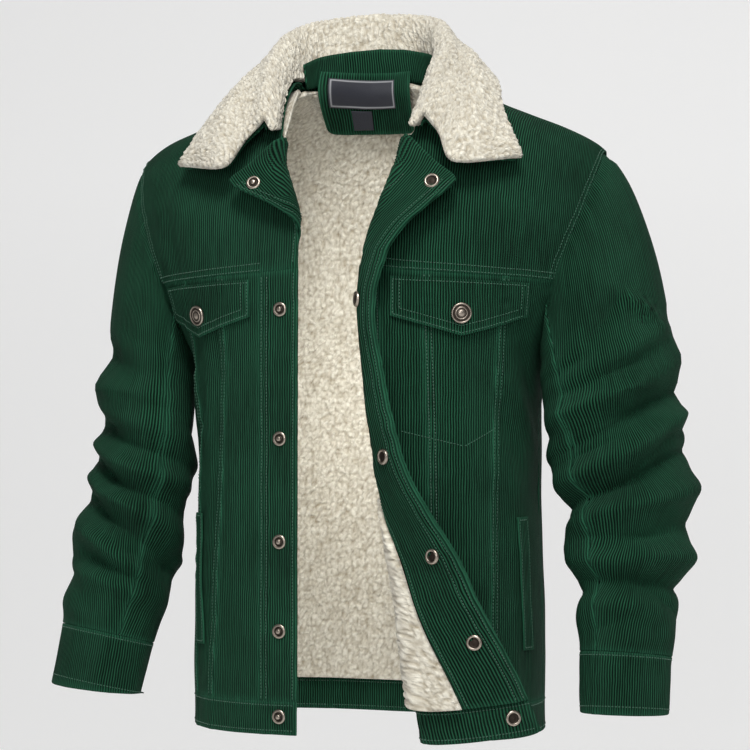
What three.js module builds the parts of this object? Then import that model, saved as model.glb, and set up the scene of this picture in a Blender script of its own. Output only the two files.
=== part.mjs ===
import * as THREE from 'three';

// A corduroy trucker jacket lined with cream pile, hollow, as if a wearer stood in it.
// Millimetres. +X is the wearer's left, -Y the front, +Z up. The origin is in the middle of the
// neck, level with the shoulder seams. Both fronts are open and the left one is turned back.

// Cloth and seams
const CLOTH = 2.0;
const PILE = 7.0;
const SEAM_GAP = 0.3;
const LAYER_GAP = 0.9;
const FACING_GAP = 2.8;
const LINING_GAP = 5;
const BAND_CLOTH = 3.6;

// Figure: one reference section, and what changes with the height v along the cloth.
// v is 0 at the chest line, negative down to the hem, positive up to the shoulder seam.
const CHEST_Z = -230;
const HEM_V = -408;
const BAND_HEIGHT = 31;
const BAND_V = HEM_V + BAND_HEIGHT;
const YOKE_V = 22;
const ARMPIT_V = -60;
const ARMPIT_EASE = 7;
const ARMHOLE_EASE = 0.8;
const SHOULDER_ARC = 176;
const RIDGE_V = SHOULDER_ARC * Math.PI / 2;
const RIDGE_HALF_WIDTH = 239;
const SECTION = { halfWidth: 178, halfDepth: 138, power: 2.4 };
const BACK_HEM_DROP = 20;

const BODY = [
  { v: -408, halfWidth: 174, halfDepth: 138, centre: 0 },
  { v: -300, halfWidth: 174, halfDepth: 137, centre: 0 },
  { v: -180, halfWidth: 170, halfDepth: 136, centre: 0 },
  { v: -60, halfWidth: 175, halfDepth: 135, centre: 0 },
  { v: -10, halfWidth: 195, halfDepth: 134, centre: 0 },
  { v: 28, halfWidth: 215, halfDepth: 134, centre: 1 },
  { v: 63, halfWidth: 232, halfDepth: 134, centre: 2 },
  { v: 114, halfWidth: 243, halfDepth: 134, centre: 3 },
  { v: 170, halfWidth: 245, halfDepth: 134, centre: 4 },
  { v: 277, halfWidth: 239, halfDepth: 134, centre: 6 },
];

// Shoulder line: its height at each distance from the middle.
const SHOULDER = [
  { x: -72, z: -5 },
  { x: 0, z: 38 },
  { x: 72, z: -5 },
  { x: 131, z: -31 },
  { x: 168, z: -47 },
  { x: 205, z: -62 },
  { x: 228, z: -76 },
  { x: 242, z: -90 },
];

// Armhole: the angle round the body, from the centre front, at each height.
const ARMHOLE = [
  { v: -60, angle: 90 },
  { v: -48, angle: 82 },
  { v: -15, angle: 73 },
  { v: 28, angle: 67 },
  { v: 63, angle: 65.5 },
  { v: 114, angle: 67.5 },
  { v: 170, angle: 71 },
  { v: 225, angle: 75 },
  { v: 277, angle: 79 },
];

// Fronts: the free edge, and the line about which the cloth turns outwards, both as distances
// from the centre front, with the turn in degrees and the radius of the roll.
const FRONTS = {
  left: [
    { v: -408, edge: -20, fold: 91, turn: 166, radius: 8 },
    { v: -360, edge: -12, fold: 86, turn: 164, radius: 8 },
    { v: -285, edge: -1, fold: 78, turn: 151, radius: 9 },
    { v: -237, edge: -2, fold: 71, turn: 140, radius: 9 },
    { v: -150, edge: 2, fold: 53, turn: 134, radius: 9 },
    { v: -60, edge: 5, fold: 41, turn: 138, radius: 8 },
    { v: -6, edge: 4, fold: 37, turn: 140, radius: 8 },
    { v: 30, edge: 2, fold: 40, turn: 144, radius: 7 },
    { v: 50, edge: 0, fold: 47, turn: 150, radius: 7 },
    { v: 65, edge: -2, fold: 52, turn: 158, radius: 6 },
    { v: 93, edge: -4, fold: 61, turn: 170, radius: 5 },
    { v: 106, edge: 22, fold: 64, turn: 172, radius: 5 },
    { v: 130, edge: 62, fold: 66, turn: 172, radius: 5 },
    { v: 145, edge: 66, fold: 60, turn: 172, radius: 5 },
    { v: 200, edge: 70, fold: 40, turn: 172, radius: 5 },
    { v: 277, edge: 73, fold: 30, turn: 172, radius: 5 },
  ],
  right: [
    { v: -408, edge: 38, fold: 10, turn: 160, radius: 8 },
    { v: 20, edge: 38, fold: 20, turn: 160, radius: 8 },
    { v: 46, edge: 37, fold: 43, turn: 160, radius: 7 },
    { v: 66, edge: 22, fold: 51, turn: 164, radius: 7 },
    { v: 93, edge: 2, fold: 62, turn: 170, radius: 6 },
    { v: 106, edge: 26, fold: 66, turn: 172, radius: 6 },
    { v: 130, edge: 62, fold: 66, turn: 172, radius: 5 },
    { v: 145, edge: 66, fold: 60, turn: 172, radius: 5 },
    { v: 200, edge: 70, fold: 40, turn: 172, radius: 5 },
    { v: 277, edge: 73, fold: 30, turn: 172, radius: 5 },
  ],
};

// Share by which the turned cloth climbs towards its free edge, in full below the lower height,
// and the width over which the climb sets in.
const TURNED_RISE = { share: 0.18, none: -150, full: -300, soft: 25 };

// Heights of the rows of the panels: closer where the cloth curves most.
const UPPER_ROWS = [22, 38, 52, 66, 80, 93, 106, 118, 132, 152, 178, 206, 234, 258, 276.4];
const FRONT_ROWS = {
  left: [-377, -335, -295, -270, -248, -226, -204, -182, -155, -120, -90, -60, -35, -10,
    ...UPPER_ROWS],
  right: [-377, -300, -220, -145, -95, -60, -35, -10, ...UPPER_ROWS],
};
const BACK_ROWS = [
  -377, -320, -250, -180, -120, -80, -55, -30, -5, 22, 52, 82, 112, 142, 172, 202, 230, 256, 276.4,
];
const ROW_MARGIN = 4;
const ROLL_WEIGHT = 4;

// Columns of each piece: the left front needs more of them round its roll.
const FRONT_COLUMNS = {
  left: { placket: 7, centre: 10, middle: 2, side: 3, yoke: 13, hem: 14, facing: 8, lining: 11 },
  right: { placket: 2, centre: 3, middle: 2, side: 3, yoke: 12, hem: 8, facing: 6, lining: 6 },
};
const BACK_COLUMNS = { centre: 6, side: 7, whole: 16 };
const SLEEVE_COLUMNS = { upper: 15, under: 6, cuff: 20 };
const COLLAR_COLUMNS = { leaf: 22, stand: 10 };
const TRIM_COLUMNS = { flap: 8, welt: 2, label: 6 };

// Placket and facing along the free edge. The facing narrows to nothing where the neckline runs
// into the collar.
const PLACKET_WIDTH = 38;
const FACING = [
  { v: -408, width: 50 },
  { v: -60, width: 50 },
  { v: 30, width: 60 },
  { v: 93, width: 64 },
  { v: 117, width: 32 },
  { v: 141, width: 2.6 },
  { v: 277, width: 2.6 },
];
const FACING_TOP_V = 138;

// How far the lining stays back from the side seams, the shoulders and the neckline.
const LINING_INSET = { side: 3, shoulder: 12, neck: 9 };

// Seams down each front below the yoke, as distances from the centre front.
const FRONT_SEAMS = {
  left: [
    { v: -377, inner: 92, outer: 150 },
    { v: -150, inner: 88, outer: 152 },
    { v: 22, inner: 82, outer: 160 },
  ],
  right: [
    { v: -377, inner: 138, outer: 172 },
    { v: -150, inner: 122, outer: 172 },
    { v: 22, inner: 116, outer: 172 },
  ],
};

// Back: the seams of the centre panel, and the neckline.
const BACK_SEAM = { hem: 74, yoke: 118 };
const BACK_NECK_V = 188;
const NECK_HALF_WIDTH = 76;

// Chest flaps and hand pocket welts, as distances round the front from its centre.
const FLAPS = {
  left: { inner: 52, outer: 190, tip: 118 },
  right: { inner: 86, outer: 208, tip: 150 },
};
const FLAP_TOP_V = 17;
const FLAP_CORNER_V = -15;
const FLAP_TIP_V = -33;
const WELT = { inner: { left: 184, right: 160 }, width: 18, top: -204, bottom: -328, slant: 10 };

// Sleeves: rings down the arm below the armpit. x is outwards from the middle of the body; long
// and short are half the oval's widths and turn is the angle of the long one from straight out.
const SLEEVES = {
  left: [
    { z: -316, x: 243, y: -10, long: 73, short: 50, turn: 42 },
    { z: -345, x: 246, y: -12, long: 73, short: 48, turn: 40 },
    { z: -382, x: 253, y: -15, long: 71, short: 47, turn: 38 },
    { z: -424, x: 260, y: -21, long: 65, short: 44, turn: 36 },
    { z: -471, x: 263, y: -30, long: 59, short: 43, turn: 30 },
    { z: -512, x: 263, y: -38, long: 50, short: 41, turn: 25 },
    { z: -564, x: 261, y: -48, long: 44, short: 37, turn: 20 },
    { z: -618, x: 261, y: -58, long: 42, short: 35, turn: 15 },
  ],
  right: [
    { z: -316, x: 230, y: -10, long: 67, short: 43, turn: 48 },
    { z: -345, x: 231, y: -12, long: 68, short: 42, turn: 48 },
    { z: -385, x: 234, y: -15, long: 69, short: 44, turn: 46 },
    { z: -430, x: 239, y: -21, long: 70, short: 46, turn: 44 },
    { z: -470, x: 244, y: -30, long: 65, short: 49, turn: 38 },
    { z: -512, x: 251, y: -38, long: 58, short: 46, turn: 30 },
    { z: -561, x: 260, y: -48, long: 50, short: 42, turn: 20 },
    { z: -614, x: 269, y: -58, long: 48, short: 38, turn: 15 },
  ],
};
const CUFF_HEIGHT = 54;
const CAP_LENGTH = 100;
const CAP_BULGE = { out: 19, up: 66 };
const SLEEVE_SEAMS = { front: 125, back: 232 };
const SLEEVE_ROWS = 19;
const SLEEVE_START = 1.5;
const SLEEVE_SEAM_GAP = 0.2;
const ARMHOLE_STEPS = 60;

// Largest folds of the sleeves. z and angle place the fold's middle (angle from straight out,
// towards the front), slope is its fall in millimetres for each degree towards the front.
const FOLDS = {
  left: [
    { z: -235, angle: 37, rise: 5, width: 9, spread: 24, slope: -0.62 },
    { z: -250, angle: 76, rise: -6, width: 10, spread: 32, slope: 1.06 },
    { z: -272, angle: 45, rise: 5, width: 12, spread: 50, slope: 0.45 },
    { z: -298, angle: 75, rise: -5, width: 9, spread: 55, slope: 0.4 },
    { z: -320, angle: 80, rise: 7, width: 11, spread: 65, slope: 0.34 },
    { z: -347, angle: 70, rise: -7, width: 10, spread: 75, slope: 0.33 },
    { z: -377, angle: 68, rise: 8, width: 12, spread: 78, slope: 0.32 },
    { z: -404, angle: 65, rise: -8, width: 9, spread: 80, slope: 0.25 },
    { z: -429, angle: 60, rise: 8, width: 12, spread: 85, slope: 0.16 },
    { z: -458, angle: 50, rise: -5, width: 10, spread: 60, slope: 0.15 },
    { z: -479, angle: 60, rise: 6, width: 11, spread: 80, slope: 0.05 },
    { z: -499, angle: 65, rise: -8, width: 8, spread: 75, slope: 0 },
    { z: -514, angle: 25, rise: -4, width: 8, spread: 35, slope: -0.31 },
    { z: -522, angle: 90, rise: 4, width: 10, spread: 50, slope: 0 },
    { z: -372, angle: 200, rise: 6, width: 14, spread: 60, slope: 0.1 },
    { z: -410, angle: 220, rise: -6, width: 12, spread: 60, slope: 0 },
    { z: -446, angle: 250, rise: 6, width: 14, spread: 60, slope: -0.2 },
    { z: -486, angle: 270, rise: -5, width: 12, spread: 60, slope: -0.2 },
  ],
  right: [
    { z: -254, angle: 125, rise: -4, width: 9, spread: 35, slope: 0.6 },
    { z: -288, angle: 50, rise: -6, width: 12, spread: 60, slope: 0.2 },
    { z: -316, angle: 50, rise: 6, width: 14, spread: 60, slope: 0.2 },
    { z: -345, angle: 70, rise: 5, width: 12, spread: 70, slope: 0.2 },
    { z: -370, angle: 80, rise: -6, width: 9, spread: 75, slope: 0.25 },
    { z: -394, angle: 88, rise: 8, width: 11, spread: 70, slope: 0.2 },
    { z: -414, angle: 80, rise: -7, width: 9, spread: 75, slope: 0.3 },
    { z: -434, angle: 88, rise: 8, width: 11, spread: 65, slope: 0.35 },
    { z: -457, angle: 85, rise: -7, width: 9, spread: 75, slope: 0.35 },
    { z: -481, angle: 85, rise: 8, width: 11, spread: 60, slope: 0.4 },
    { z: -498, angle: 95, rise: -6, width: 8, spread: 50, slope: 0.2 },
    { z: -513, angle: 85, rise: 7, width: 11, spread: 60, slope: 0.1 },
    { z: -487, angle: 160, rise: -7, width: 14, spread: 30, slope: 0 },
    { z: -390, angle: 215, rise: 6, width: 14, spread: 55, slope: 0.1 },
    { z: -432, angle: 235, rise: -6, width: 12, spread: 55, slope: 0 },
    { z: -470, angle: 260, rise: 6, width: 14, spread: 60, slope: -0.2 },
  ],
};

// Collar: half of it, from the centre back to the front end. Each row is a section with its
// root at the neckline, the crest of its roll, the middle of its leaf and its outer edge. Drift
// is how far both halves have slipped towards the wearer's left above the neckline, and tilt how
// far the leaf is lifted on that side and lowered on the other.
const COLLAR = [
  { at: 0, drift: -15, tilt: 0, root: [0, 66, 12], crest: [0, 92, 77], leaf: [0, 110, 36],
    edge: [0, 108, -12] },
  { at: 0.16, drift: -15, tilt: 1, root: [36, 62, 10], crest: [42, 84, 73], leaf: [54, 102, 34],
    edge: [60, 98, -19] },
  { at: 0.32, drift: -13, tilt: 4, root: [59, 44, 6], crest: [73, 56, 62], leaf: [91, 78, 25],
    edge: [106, 84, -27] },
  { at: 0.47, drift: -10, tilt: 5, root: [70, 16, 1], crest: [83, 18, 46], leaf: [109, 24, 19],
    edge: [133, 32, -17] },
  { at: 0.62, drift: -5, tilt: 4, root: [73, -18, -4], crest: [87, -16, 29], leaf: [116, -26, 4],
    edge: [141, -22, -21] },
  { at: 0.77, drift: -3, tilt: 1, root: [71, -50, -20], crest: [86, -54, 6], leaf: [120, -70, -24],
    edge: [152, -60, -52] },
  { at: 0.9, drift: 0, tilt: 0, root: [68, -76, -42], crest: [82, -88, -24], leaf: [124, -106, -60],
    edge: [167, -88, -84] },
  { at: 1, drift: 0, tilt: 0, root: [66, -92, -64], crest: [78, -112, -52], leaf: [112, -132, -100],
    edge: [171, -94, -94] },
];
const COLLAR_ROLL = 13;
const COLLAR_PLACES = [0, 0.12, 0.25, 0.38, 0.68, 1];
const COLLAR_ROWS = [0, 0.09, 0.16, 0.22, 0.28, 0.35, 0.48, 0.7, 1];
const COLLAR_PILE = 9;
const UNDER_COLLAR = { gap: 1.4, reach: 0.99, low: 0.02, high: 0.985 };
const STAND_BAND = { reach: 0.5, low: 0.002, high: 0.045, lift: 1.4 };

// Inside the back neck. The label patch hangs from the stand: each row is a height above its
// lower edge, with its place there in the middle and how far it bows forward 50 mm from it.
const PATCH_FALL = [
  { v: 0, y: 78, z: -50, bow: 12 },
  { v: 28, y: 62, z: -22, bow: 25 },
  { v: 41, y: 56.5, z: -9, bow: 25 },
  { v: 60, y: 58.5, z: 10, bow: 18 },
];
const BOW_AT = 50;
const LABEL_ROWS = [15, 28, 41];
const LABELS = [
  { name: 'label_patch', centre: -15, halfWidth: 45, low: 0, high: 60, lift: 0, thick: 1.6 },
  { name: 'woven_label', centre: -20, halfWidth: 33, low: 25, high: 52, lift: 3.2, thick: 0.8 },
  { name: 'size_tag', centre: -24, halfWidth: 10, low: 5, high: 23, lift: 3.2, thick: 0.8 },
];

// Snaps: heights of the studs on the right placket and of the sockets on the left facing.
const SNAPS = [
  { stud: 86, socket: 86 },
  { stud: -8, socket: 0 },
  { stud: -130, socket: -145 },
  { stud: -227, socket: -237 },
  { stud: -311, socket: -318 },
  { stud: -391, socket: -391 },
];
const SNAP_INSET = 17;
const STUD = [
  { r: 0, z: 0 },
  { r: 5.5, z: 0 },
  { r: 6, z: 0.8 },
  { r: 4.4, z: 1.8 },
  { r: 2.4, z: 2 },
  { r: 2.2, z: 4 },
  { r: 0, z: 4.4 },
];
const SOCKET = [
  { r: 0, z: 0 },
  { r: 6.6, z: 0 },
  { r: 7, z: 1 },
  { r: 6, z: 2.4 },
  { r: 4.4, z: 2 },
  { r: 3.8, z: 0.9 },
  { r: 0, z: 0.9 },
];
const BUTTON = [
  { r: 0, z: 0 },
  { r: 8.6, z: 0 },
  { r: 9.6, z: 1 },
  { r: 9, z: 2.6 },
  { r: 6.6, z: 2.2 },
  { r: 5, z: 2.9 },
  { r: 0, z: 3.3 },
];
const SNAP_SIDES = 8;
const BUTTON_HEIGHT = 0.42;
const HARDWARE_LIFT = { outside: 0.8, inside: 2.2 };

// Finishes
const CORDUROY = { color: 0x0d3a24, roughness: 0.88, metalness: 0 };
const FLEECE = { color: 0xe9dfc6, roughness: 0.95, metalness: 0 };
const METAL = { color: 0x9a9184, roughness: 0.38, metalness: 0.9 };
const LABEL = { color: 0x1a1c26, roughness: 0.7, metalness: 0 };

const SIDES = { left: 1, right: -1 };
const RAD = Math.PI / 180;
const STEP = 0.5;

const jacket = new THREE.Group();

// Smooth curve through a table: the value in a column where the key column equals `at`.
function read(table, key, column, at) {
  const last = table.length - 1;
  const x = Math.min(Math.max(at, table[0][key]), table[last][key]);
  let i = 0;
  while (i < last - 1 && table[i + 1][key] < x) i += 1;
  const slope = (k) => {
    const a = table[Math.max(k - 1, 0)];
    const b = table[Math.min(k + 1, last)];
    return (b[column] - a[column]) / (b[key] - a[key]);
  };
  const [a, b] = [table[i], table[i + 1]];
  const span = b[key] - a[key];
  const t = (x - a[key]) / span;
  const [t2, t3] = [t * t, t * t * t];
  return a[column] * (2 * t3 - 3 * t2 + 1) + b[column] * (3 * t2 - 2 * t3)
    + span * (slope(i) * (t3 - 2 * t2 + t) + slope(i + 1) * (t3 - t2));
}

const mix = (a, b, t) => a + (b - a) * t;

// Point of the reference section at an angle from the centre front, as shares of its half
// width and half depth.
function section(angle) {
  const [s, c] = [Math.sin(angle * RAD), Math.cos(angle * RAD)];
  const { halfWidth, halfDepth, power } = SECTION;
  const r = (Math.abs(s / halfWidth) ** power + Math.abs(c / halfDepth) ** power) ** (-1 / power);
  return { across: r * s / halfWidth, forward: r * c / halfDepth };
}

// Arc length of the reference section at every degree, from the centre front.
const ARC = [{ angle: 0, length: 0 }];
for (let angle = 1; angle <= 180; angle += 1) {
  const [a, b] = [section(angle - 1), section(angle)];
  const step = Math.hypot(
    (b.across - a.across) * SECTION.halfWidth,
    (b.forward - a.forward) * SECTION.halfDepth,
  );
  ARC.push({ angle, length: ARC[angle - 1].length + step });
}

const widening = (v) => read(BODY, 'v', 'halfWidth', v) / SECTION.halfWidth;
const angleAt = (u, v) => {
  const length = Math.abs(u) / widening(v);
  return Math.sign(u) * read(ARC, 'length', 'angle', length);
};
const arcAt = (angle, v) => read(ARC, 'angle', 'length', angle) * widening(v);

// Outer face of the body: angle round it and height along its cloth. Above the chest line the
// depth closes as a quarter ellipse on the shoulder line.
function bodyPoint(angle, v) {
  const { across, forward } = section(angle);
  const lean = Math.max(v, 0) / SHOULDER_ARC;
  const x = across * read(BODY, 'v', 'halfWidth', v);
  const depth = read(BODY, 'v', 'halfDepth', v) * (v > 0 ? Math.cos(lean) : 1);
  const y = read(BODY, 'v', 'centre', v) - forward * depth;
  const top = read(SHOULDER, 'x', 'z', Math.abs(across) * RIDGE_HALF_WIDTH);
  const drop = BACK_HEM_DROP * (0.5 - 0.5 * Math.cos(angle * RAD)) * (Math.min(v, 0) / HEM_V) ** 2;
  const z = v > 0 ? CHEST_Z + Math.sin(lean) * (top - CHEST_Z) : CHEST_Z + v - drop;
  return new THREE.Vector3(x, y, z);
}

// Normal of a surface given as a function of two parameters, from two small steps.
function normalOf(surface, a, b, stepA, stepB) {
  const da = surface(a + stepA, b).sub(surface(a - stepA, b));
  const db = surface(a, b + stepB).sub(surface(a, b - stepB));
  return da.cross(db).normalize();
}

function onBody(angle, v, out) {
  const height = Math.min(v, RIDGE_V - STEP);
  const normal = normalOf(bodyPoint, angle, height, STEP, STEP);
  return bodyPoint(angle, v).addScaledVector(normal, out);
}

// Place on a front, at a distance u from its centre line. Cloth on the free side of the fold
// line runs round the roll and then straight on.
function onFront(name, u, v, out) {
  const table = FRONTS[name];
  const fold = read(table, 'v', 'fold', v);
  const turn = read(table, 'v', 'turn', v) * RAD;
  const radius = read(table, 'v', 'radius', v);
  const past = fold - u;
  let [along, lift, height] = [u, out, v];
  if (past > 0) {
    const bend = Math.min(past / radius, turn);
    const rest = past - bend * radius;
    along = fold - radius * Math.sin(bend) - rest * Math.cos(bend) + out * Math.sin(bend);
    lift = radius * (1 - Math.cos(bend)) + rest * Math.sin(bend) + out * Math.cos(bend);
    height += turnedRise(name, v, rest);
  }
  return onBody(SIDES[name] * angleAt(along, height), height, lift);
}

function turnedRise(name, v, rest) {
  const { share, none, full, soft } = TURNED_RISE;
  const t = Math.min(Math.max((none - v) / (none - full), 0), 1);
  return name === 'left' ? share * t * t * (3 - 2 * t) * rest * rest / (rest + soft) : 0;
}

// Place on the back, at a distance u from its centre line.
function onBack(u, v, out) {
  const angle = angleAt(Math.abs(u), v);
  return onBody(u < 0 ? angle - 180 : 180 - angle, v, out);
}

// Closed wall between two faces, given as at(across, up, layer) with layer 0 or 1. A ring joins
// its last column to its first.
function wall(name, finish, columns, rows, at, ring = false) {
  const across = ring ? columns : columns + 1;
  const points = [];
  for (const layer of [0, 1]) {
    for (let i = 0; i <= rows; i += 1) {
      for (let j = 0; j < across; j += 1) points.push(at(j / columns, i / rows, layer));
    }
  }
  const index = (layer, i, j) => layer * (rows + 1) * across + i * across + (j % across);
  const faces = [];
  const quad = (a, b, c, d) => faces.push(a, b, c, a, c, d);
  for (let i = 0; i < rows; i += 1) {
    for (let j = 0; j < columns; j += 1) {
      quad(index(0, i, j), index(0, i + 1, j), index(0, i + 1, j + 1), index(0, i, j + 1));
      quad(index(1, i, j), index(1, i, j + 1), index(1, i + 1, j + 1), index(1, i + 1, j));
    }
  }
  for (let j = 0; j < columns; j += 1) {
    quad(index(0, 0, j), index(0, 0, j + 1), index(1, 0, j + 1), index(1, 0, j));
    quad(index(0, rows, j), index(1, rows, j), index(1, rows, j + 1), index(0, rows, j + 1));
  }
  for (let i = 0; i < rows && !ring; i += 1) {
    quad(index(0, i + 1, 0), index(0, i, 0), index(1, i, 0), index(1, i + 1, 0));
    quad(index(0, i + 1, columns), index(1, i + 1, columns),
      index(1, i, columns), index(0, i, columns));
  }
  addSolid(name, finish, points, faces);
}

// Adds a closed mesh to the jacket, with its faces turned outwards.
function addSolid(name, finish, points, faces) {
  let volume = 0;
  for (let k = 0; k < faces.length; k += 3) {
    const [a, b, c] = [points[faces[k]], points[faces[k + 1]], points[faces[k + 2]]];
    volume += a.dot(b.clone().cross(c));
  }
  const turned = volume < 0 ? faces.slice().reverse() : faces;
  const geometry = new THREE.BufferGeometry().setFromPoints(points);
  geometry.setIndex(turned);
  geometry.computeVertexNormals();
  const mesh = new THREE.Mesh(geometry, new THREE.MeshStandardMaterial(finish));
  mesh.name = name;
  jacket.add(mesh);
}

// Distance between two bounds at a share c of the way, where the stretch `dense` counts several
// times, so that more columns fall on a tight roll.
function spread(c, inner, outer, dense) {
  const inside = (u) => Math.min(Math.max(u, inner), outer);
  const cuts = [inner, inside(dense[0]), inside(dense[1]), outer];
  const weights = [1, ROLL_WEIGHT, 1];
  const counts = weights.map((weight, k) => weight * (cuts[k + 1] - cuts[k]));
  let left = c * (counts[0] + counts[1] + counts[2]);
  for (let k = 0; k < 2; k += 1) {
    if (left <= counts[k]) return cuts[k] + left / weights[k];
    left -= counts[k];
  }
  return cuts[2] + left;
}

// Panel of cloth: low and high bound its height, and inner and outer bound it sideways, each a
// number or a function. Its rows lie at the heights in `levels`, and those above the yoke seam
// shrink with a top that dips. Its faces lie at the two distances in layers.
function panel(name, finish, place, bounds) {
  const { low, high, inner, outer, columns, levels, layers, dense = () => [0, 0] } = bounds;
  const value = (bound, at) => (typeof bound === 'function' ? bound(at) : bound);
  const half = SEAM_GAP / 2;
  const top = typeof high === 'function' ? RIDGE_V : high;
  const between = levels.filter((v) => v > value(low, 0.5) + ROW_MARGIN && v < top - ROW_MARGIN);
  const rows = between.length + 1;
  wall(name, finish, columns, rows, (c, t, layer) => {
    const level = [value(low, c) + half, ...between, top - half][Math.round(t * rows)];
    const dip = typeof high === 'function' ? (high(c) - YOKE_V) / (RIDGE_V - YOKE_V) : 1;
    const v = level > YOKE_V ? YOKE_V + (level - YOKE_V) * dip : level;
    const u = spread(c, value(inner, v) + half, value(outer, v) - half, dense(v));
    return place(u, v, layers[layer]);
  });
}

const SHELL = [0, -CLOTH];
const LINED = [-CLOTH - LINING_GAP, -CLOTH - LINING_GAP - PILE];
const FACED = [-CLOTH - FACING_GAP, -2 * CLOTH - FACING_GAP];
const BAND = [0, -BAND_CLOTH];

// Side limit of the shell: the side seam up to the armpit, then the armhole.
const sideLimit = (v) => arcAt(v < ARMPIT_V ? 90 : read(ARMHOLE, 'v', 'angle', v), v);

function makeFront(name) {
  const place = (u, v, out) => onFront(name, u, v, out);
  const edge = (v) => read(FRONTS[name], 'v', 'edge', v);
  const placket = (v) => edge(v) + PLACKET_WIDTH;
  const facing = (v) => edge(v) + read(FACING, 'v', 'width', v);
  const seam = (column) => (v) => read(FRONT_SEAMS[name], 'v', column, v);
  const dense = (v) => {
    const fold = read(FRONTS[name], 'v', 'fold', v);
    const bend = read(FRONTS[name], 'v', 'turn', v) * RAD * read(FRONTS[name], 'v', 'radius', v);
    return [fold - bend, fold];
  };
  const strip = (piece, columns, bounds) => panel(`${piece}_${name}`, CORDUROY, place, {
    low: BAND_V, high: YOKE_V, levels: FRONT_ROWS[name], layers: SHELL, dense, columns, ...bounds,
  });
  const count = FRONT_COLUMNS[name];

  strip('placket', count.placket, { inner: edge, outer: placket });
  strip('front_centre', count.centre, { inner: placket, outer: seam('inner') });
  strip('front_middle', count.middle, { inner: seam('inner'), outer: seam('outer') });
  strip('front_side', count.side, { inner: seam('outer'), outer: sideLimit });
  strip('front_yoke', count.yoke, { low: YOKE_V, high: RIDGE_V, inner: edge, outer: sideLimit });
  strip('hem_front', count.hem, {
    low: HEM_V, high: BAND_V, inner: edge, outer: sideLimit, layers: BAND,
  });
  strip('facing', count.facing, {
    high: FACING_TOP_V, inner: edge, outer: facing, layers: FACED,
  });
  panel(`lining_${name}`, FLEECE, place, {
    low: BAND_V, high: RIDGE_V - LINING_INSET.shoulder, inner: (v) => facing(v) + SEAM_GAP,
    outer: (v) => sideLimit(v) - LINING_INSET.side, columns: count.lining,
    levels: FRONT_ROWS[name], layers: LINED, dense,
  });
}

function makeBack() {
  const seam = (v) => mix(BACK_SEAM.hem, BACK_SEAM.yoke, (v - BAND_V) / (YOKE_V - BAND_V));
  const neckline = (c) => {
    const x = (2 * c - 1) * sideLimit(RIDGE_V) / NECK_HALF_WIDTH;
    const dip = Math.max(1 - x * x, 0);
    return RIDGE_V - (RIDGE_V - BACK_NECK_V) * Math.sqrt(dip);
  };
  const strip = (piece, place, columns, bounds) => panel(piece, CORDUROY, place, {
    low: BAND_V, high: YOKE_V, levels: BACK_ROWS, layers: SHELL, columns, ...bounds,
  });
  const across = (inset) => ({
    inner: (v) => inset - sideLimit(v), outer: (v) => sideLimit(v) - inset,
  });
  strip('back_centre', onBack, BACK_COLUMNS.centre, { inner: (v) => -seam(v), outer: seam });
  for (const [name, side] of Object.entries(SIDES)) {
    const place = (u, v, out) => onBack(side * u, v, out);
    strip(`back_side_${name}`, place, BACK_COLUMNS.side, { inner: seam, outer: sideLimit });
  }
  strip('back_yoke', onBack, BACK_COLUMNS.whole, { low: YOKE_V, high: neckline, ...across(0) });
  strip('hem_back', onBack, BACK_COLUMNS.whole, {
    low: HEM_V, high: BAND_V, layers: BAND, ...across(0),
  });
  panel('lining_back', FLEECE, onBack, {
    low: BAND_V, high: (c) => neckline(c) - LINING_INSET.neck, columns: BACK_COLUMNS.whole,
    levels: BACK_ROWS, layers: LINED, ...across(LINING_INSET.side),
  });
}

// Armhole of the body as a closed line, from the shoulder down the front and up the back, set
// just clear of the panels, with its points spaced evenly.
function armholeLine(side) {
  const line = [];
  for (let k = 0; k <= 2 * ARMHOLE_STEPS; k += 1) {
    const v = mix(RIDGE_V, ARMPIT_V + ARMPIT_EASE, 1 - Math.abs(1 - k / ARMHOLE_STEPS));
    const front = read(ARMHOLE, 'v', 'angle', v) + ARMHOLE_EASE;
    const angle = Math.min(front, 90);
    line.push(bodyPoint(side * (k < ARMHOLE_STEPS ? angle : 180 - angle), v));
  }
  return new THREE.CatmullRomCurve3(line, false);
}

const ARMHOLES = { left: armholeLine(1), right: armholeLine(-1) };

// Middle line of a sleeve, and its ring in the plane square to that line.
function ringPoint(name, angle, z) {
  const rows = SLEEVES[name].map((row) => ({ ...row, drop: -row.z }));
  const at = (column, height) => read(rows, 'drop', column, -height);
  const centre = (height) => new THREE.Vector3(
    SIDES[name] * at('x', height), at('y', height), height,
  );
  const down = centre(z - 4).sub(centre(z + 4)).normalize();
  const out = new THREE.Vector3(SIDES[name], 0, 0);
  out.addScaledVector(down, -out.dot(down)).normalize();
  const front = new THREE.Vector3(0, -1, 0);
  front.addScaledVector(down, -front.dot(down)).addScaledVector(out, -front.dot(out)).normalize();
  const turned = (angle + at('turn', z)) * RAD;
  const r = 1 / Math.hypot(Math.cos(turned) / at('long', z), Math.sin(turned) / at('short', z));
  const size = r + foldRise(name, angle, z);
  return centre(z)
    .addScaledVector(out, size * Math.cos(angle * RAD))
    .addScaledVector(front, size * Math.sin(angle * RAD));
}

// Height of the folds at a place on a sleeve: each is a soft ridge or trough.
function foldRise(name, angle, z) {
  let rise = 0;
  for (const fold of FOLDS[name]) {
    const away = ((angle - fold.angle + 540) % 360) - 180;
    const off = (z - fold.z + fold.slope * away) / fold.width;
    rise += fold.rise * Math.exp(-off * off - (away / fold.spread) ** 2);
  }
  return rise;
}

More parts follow.
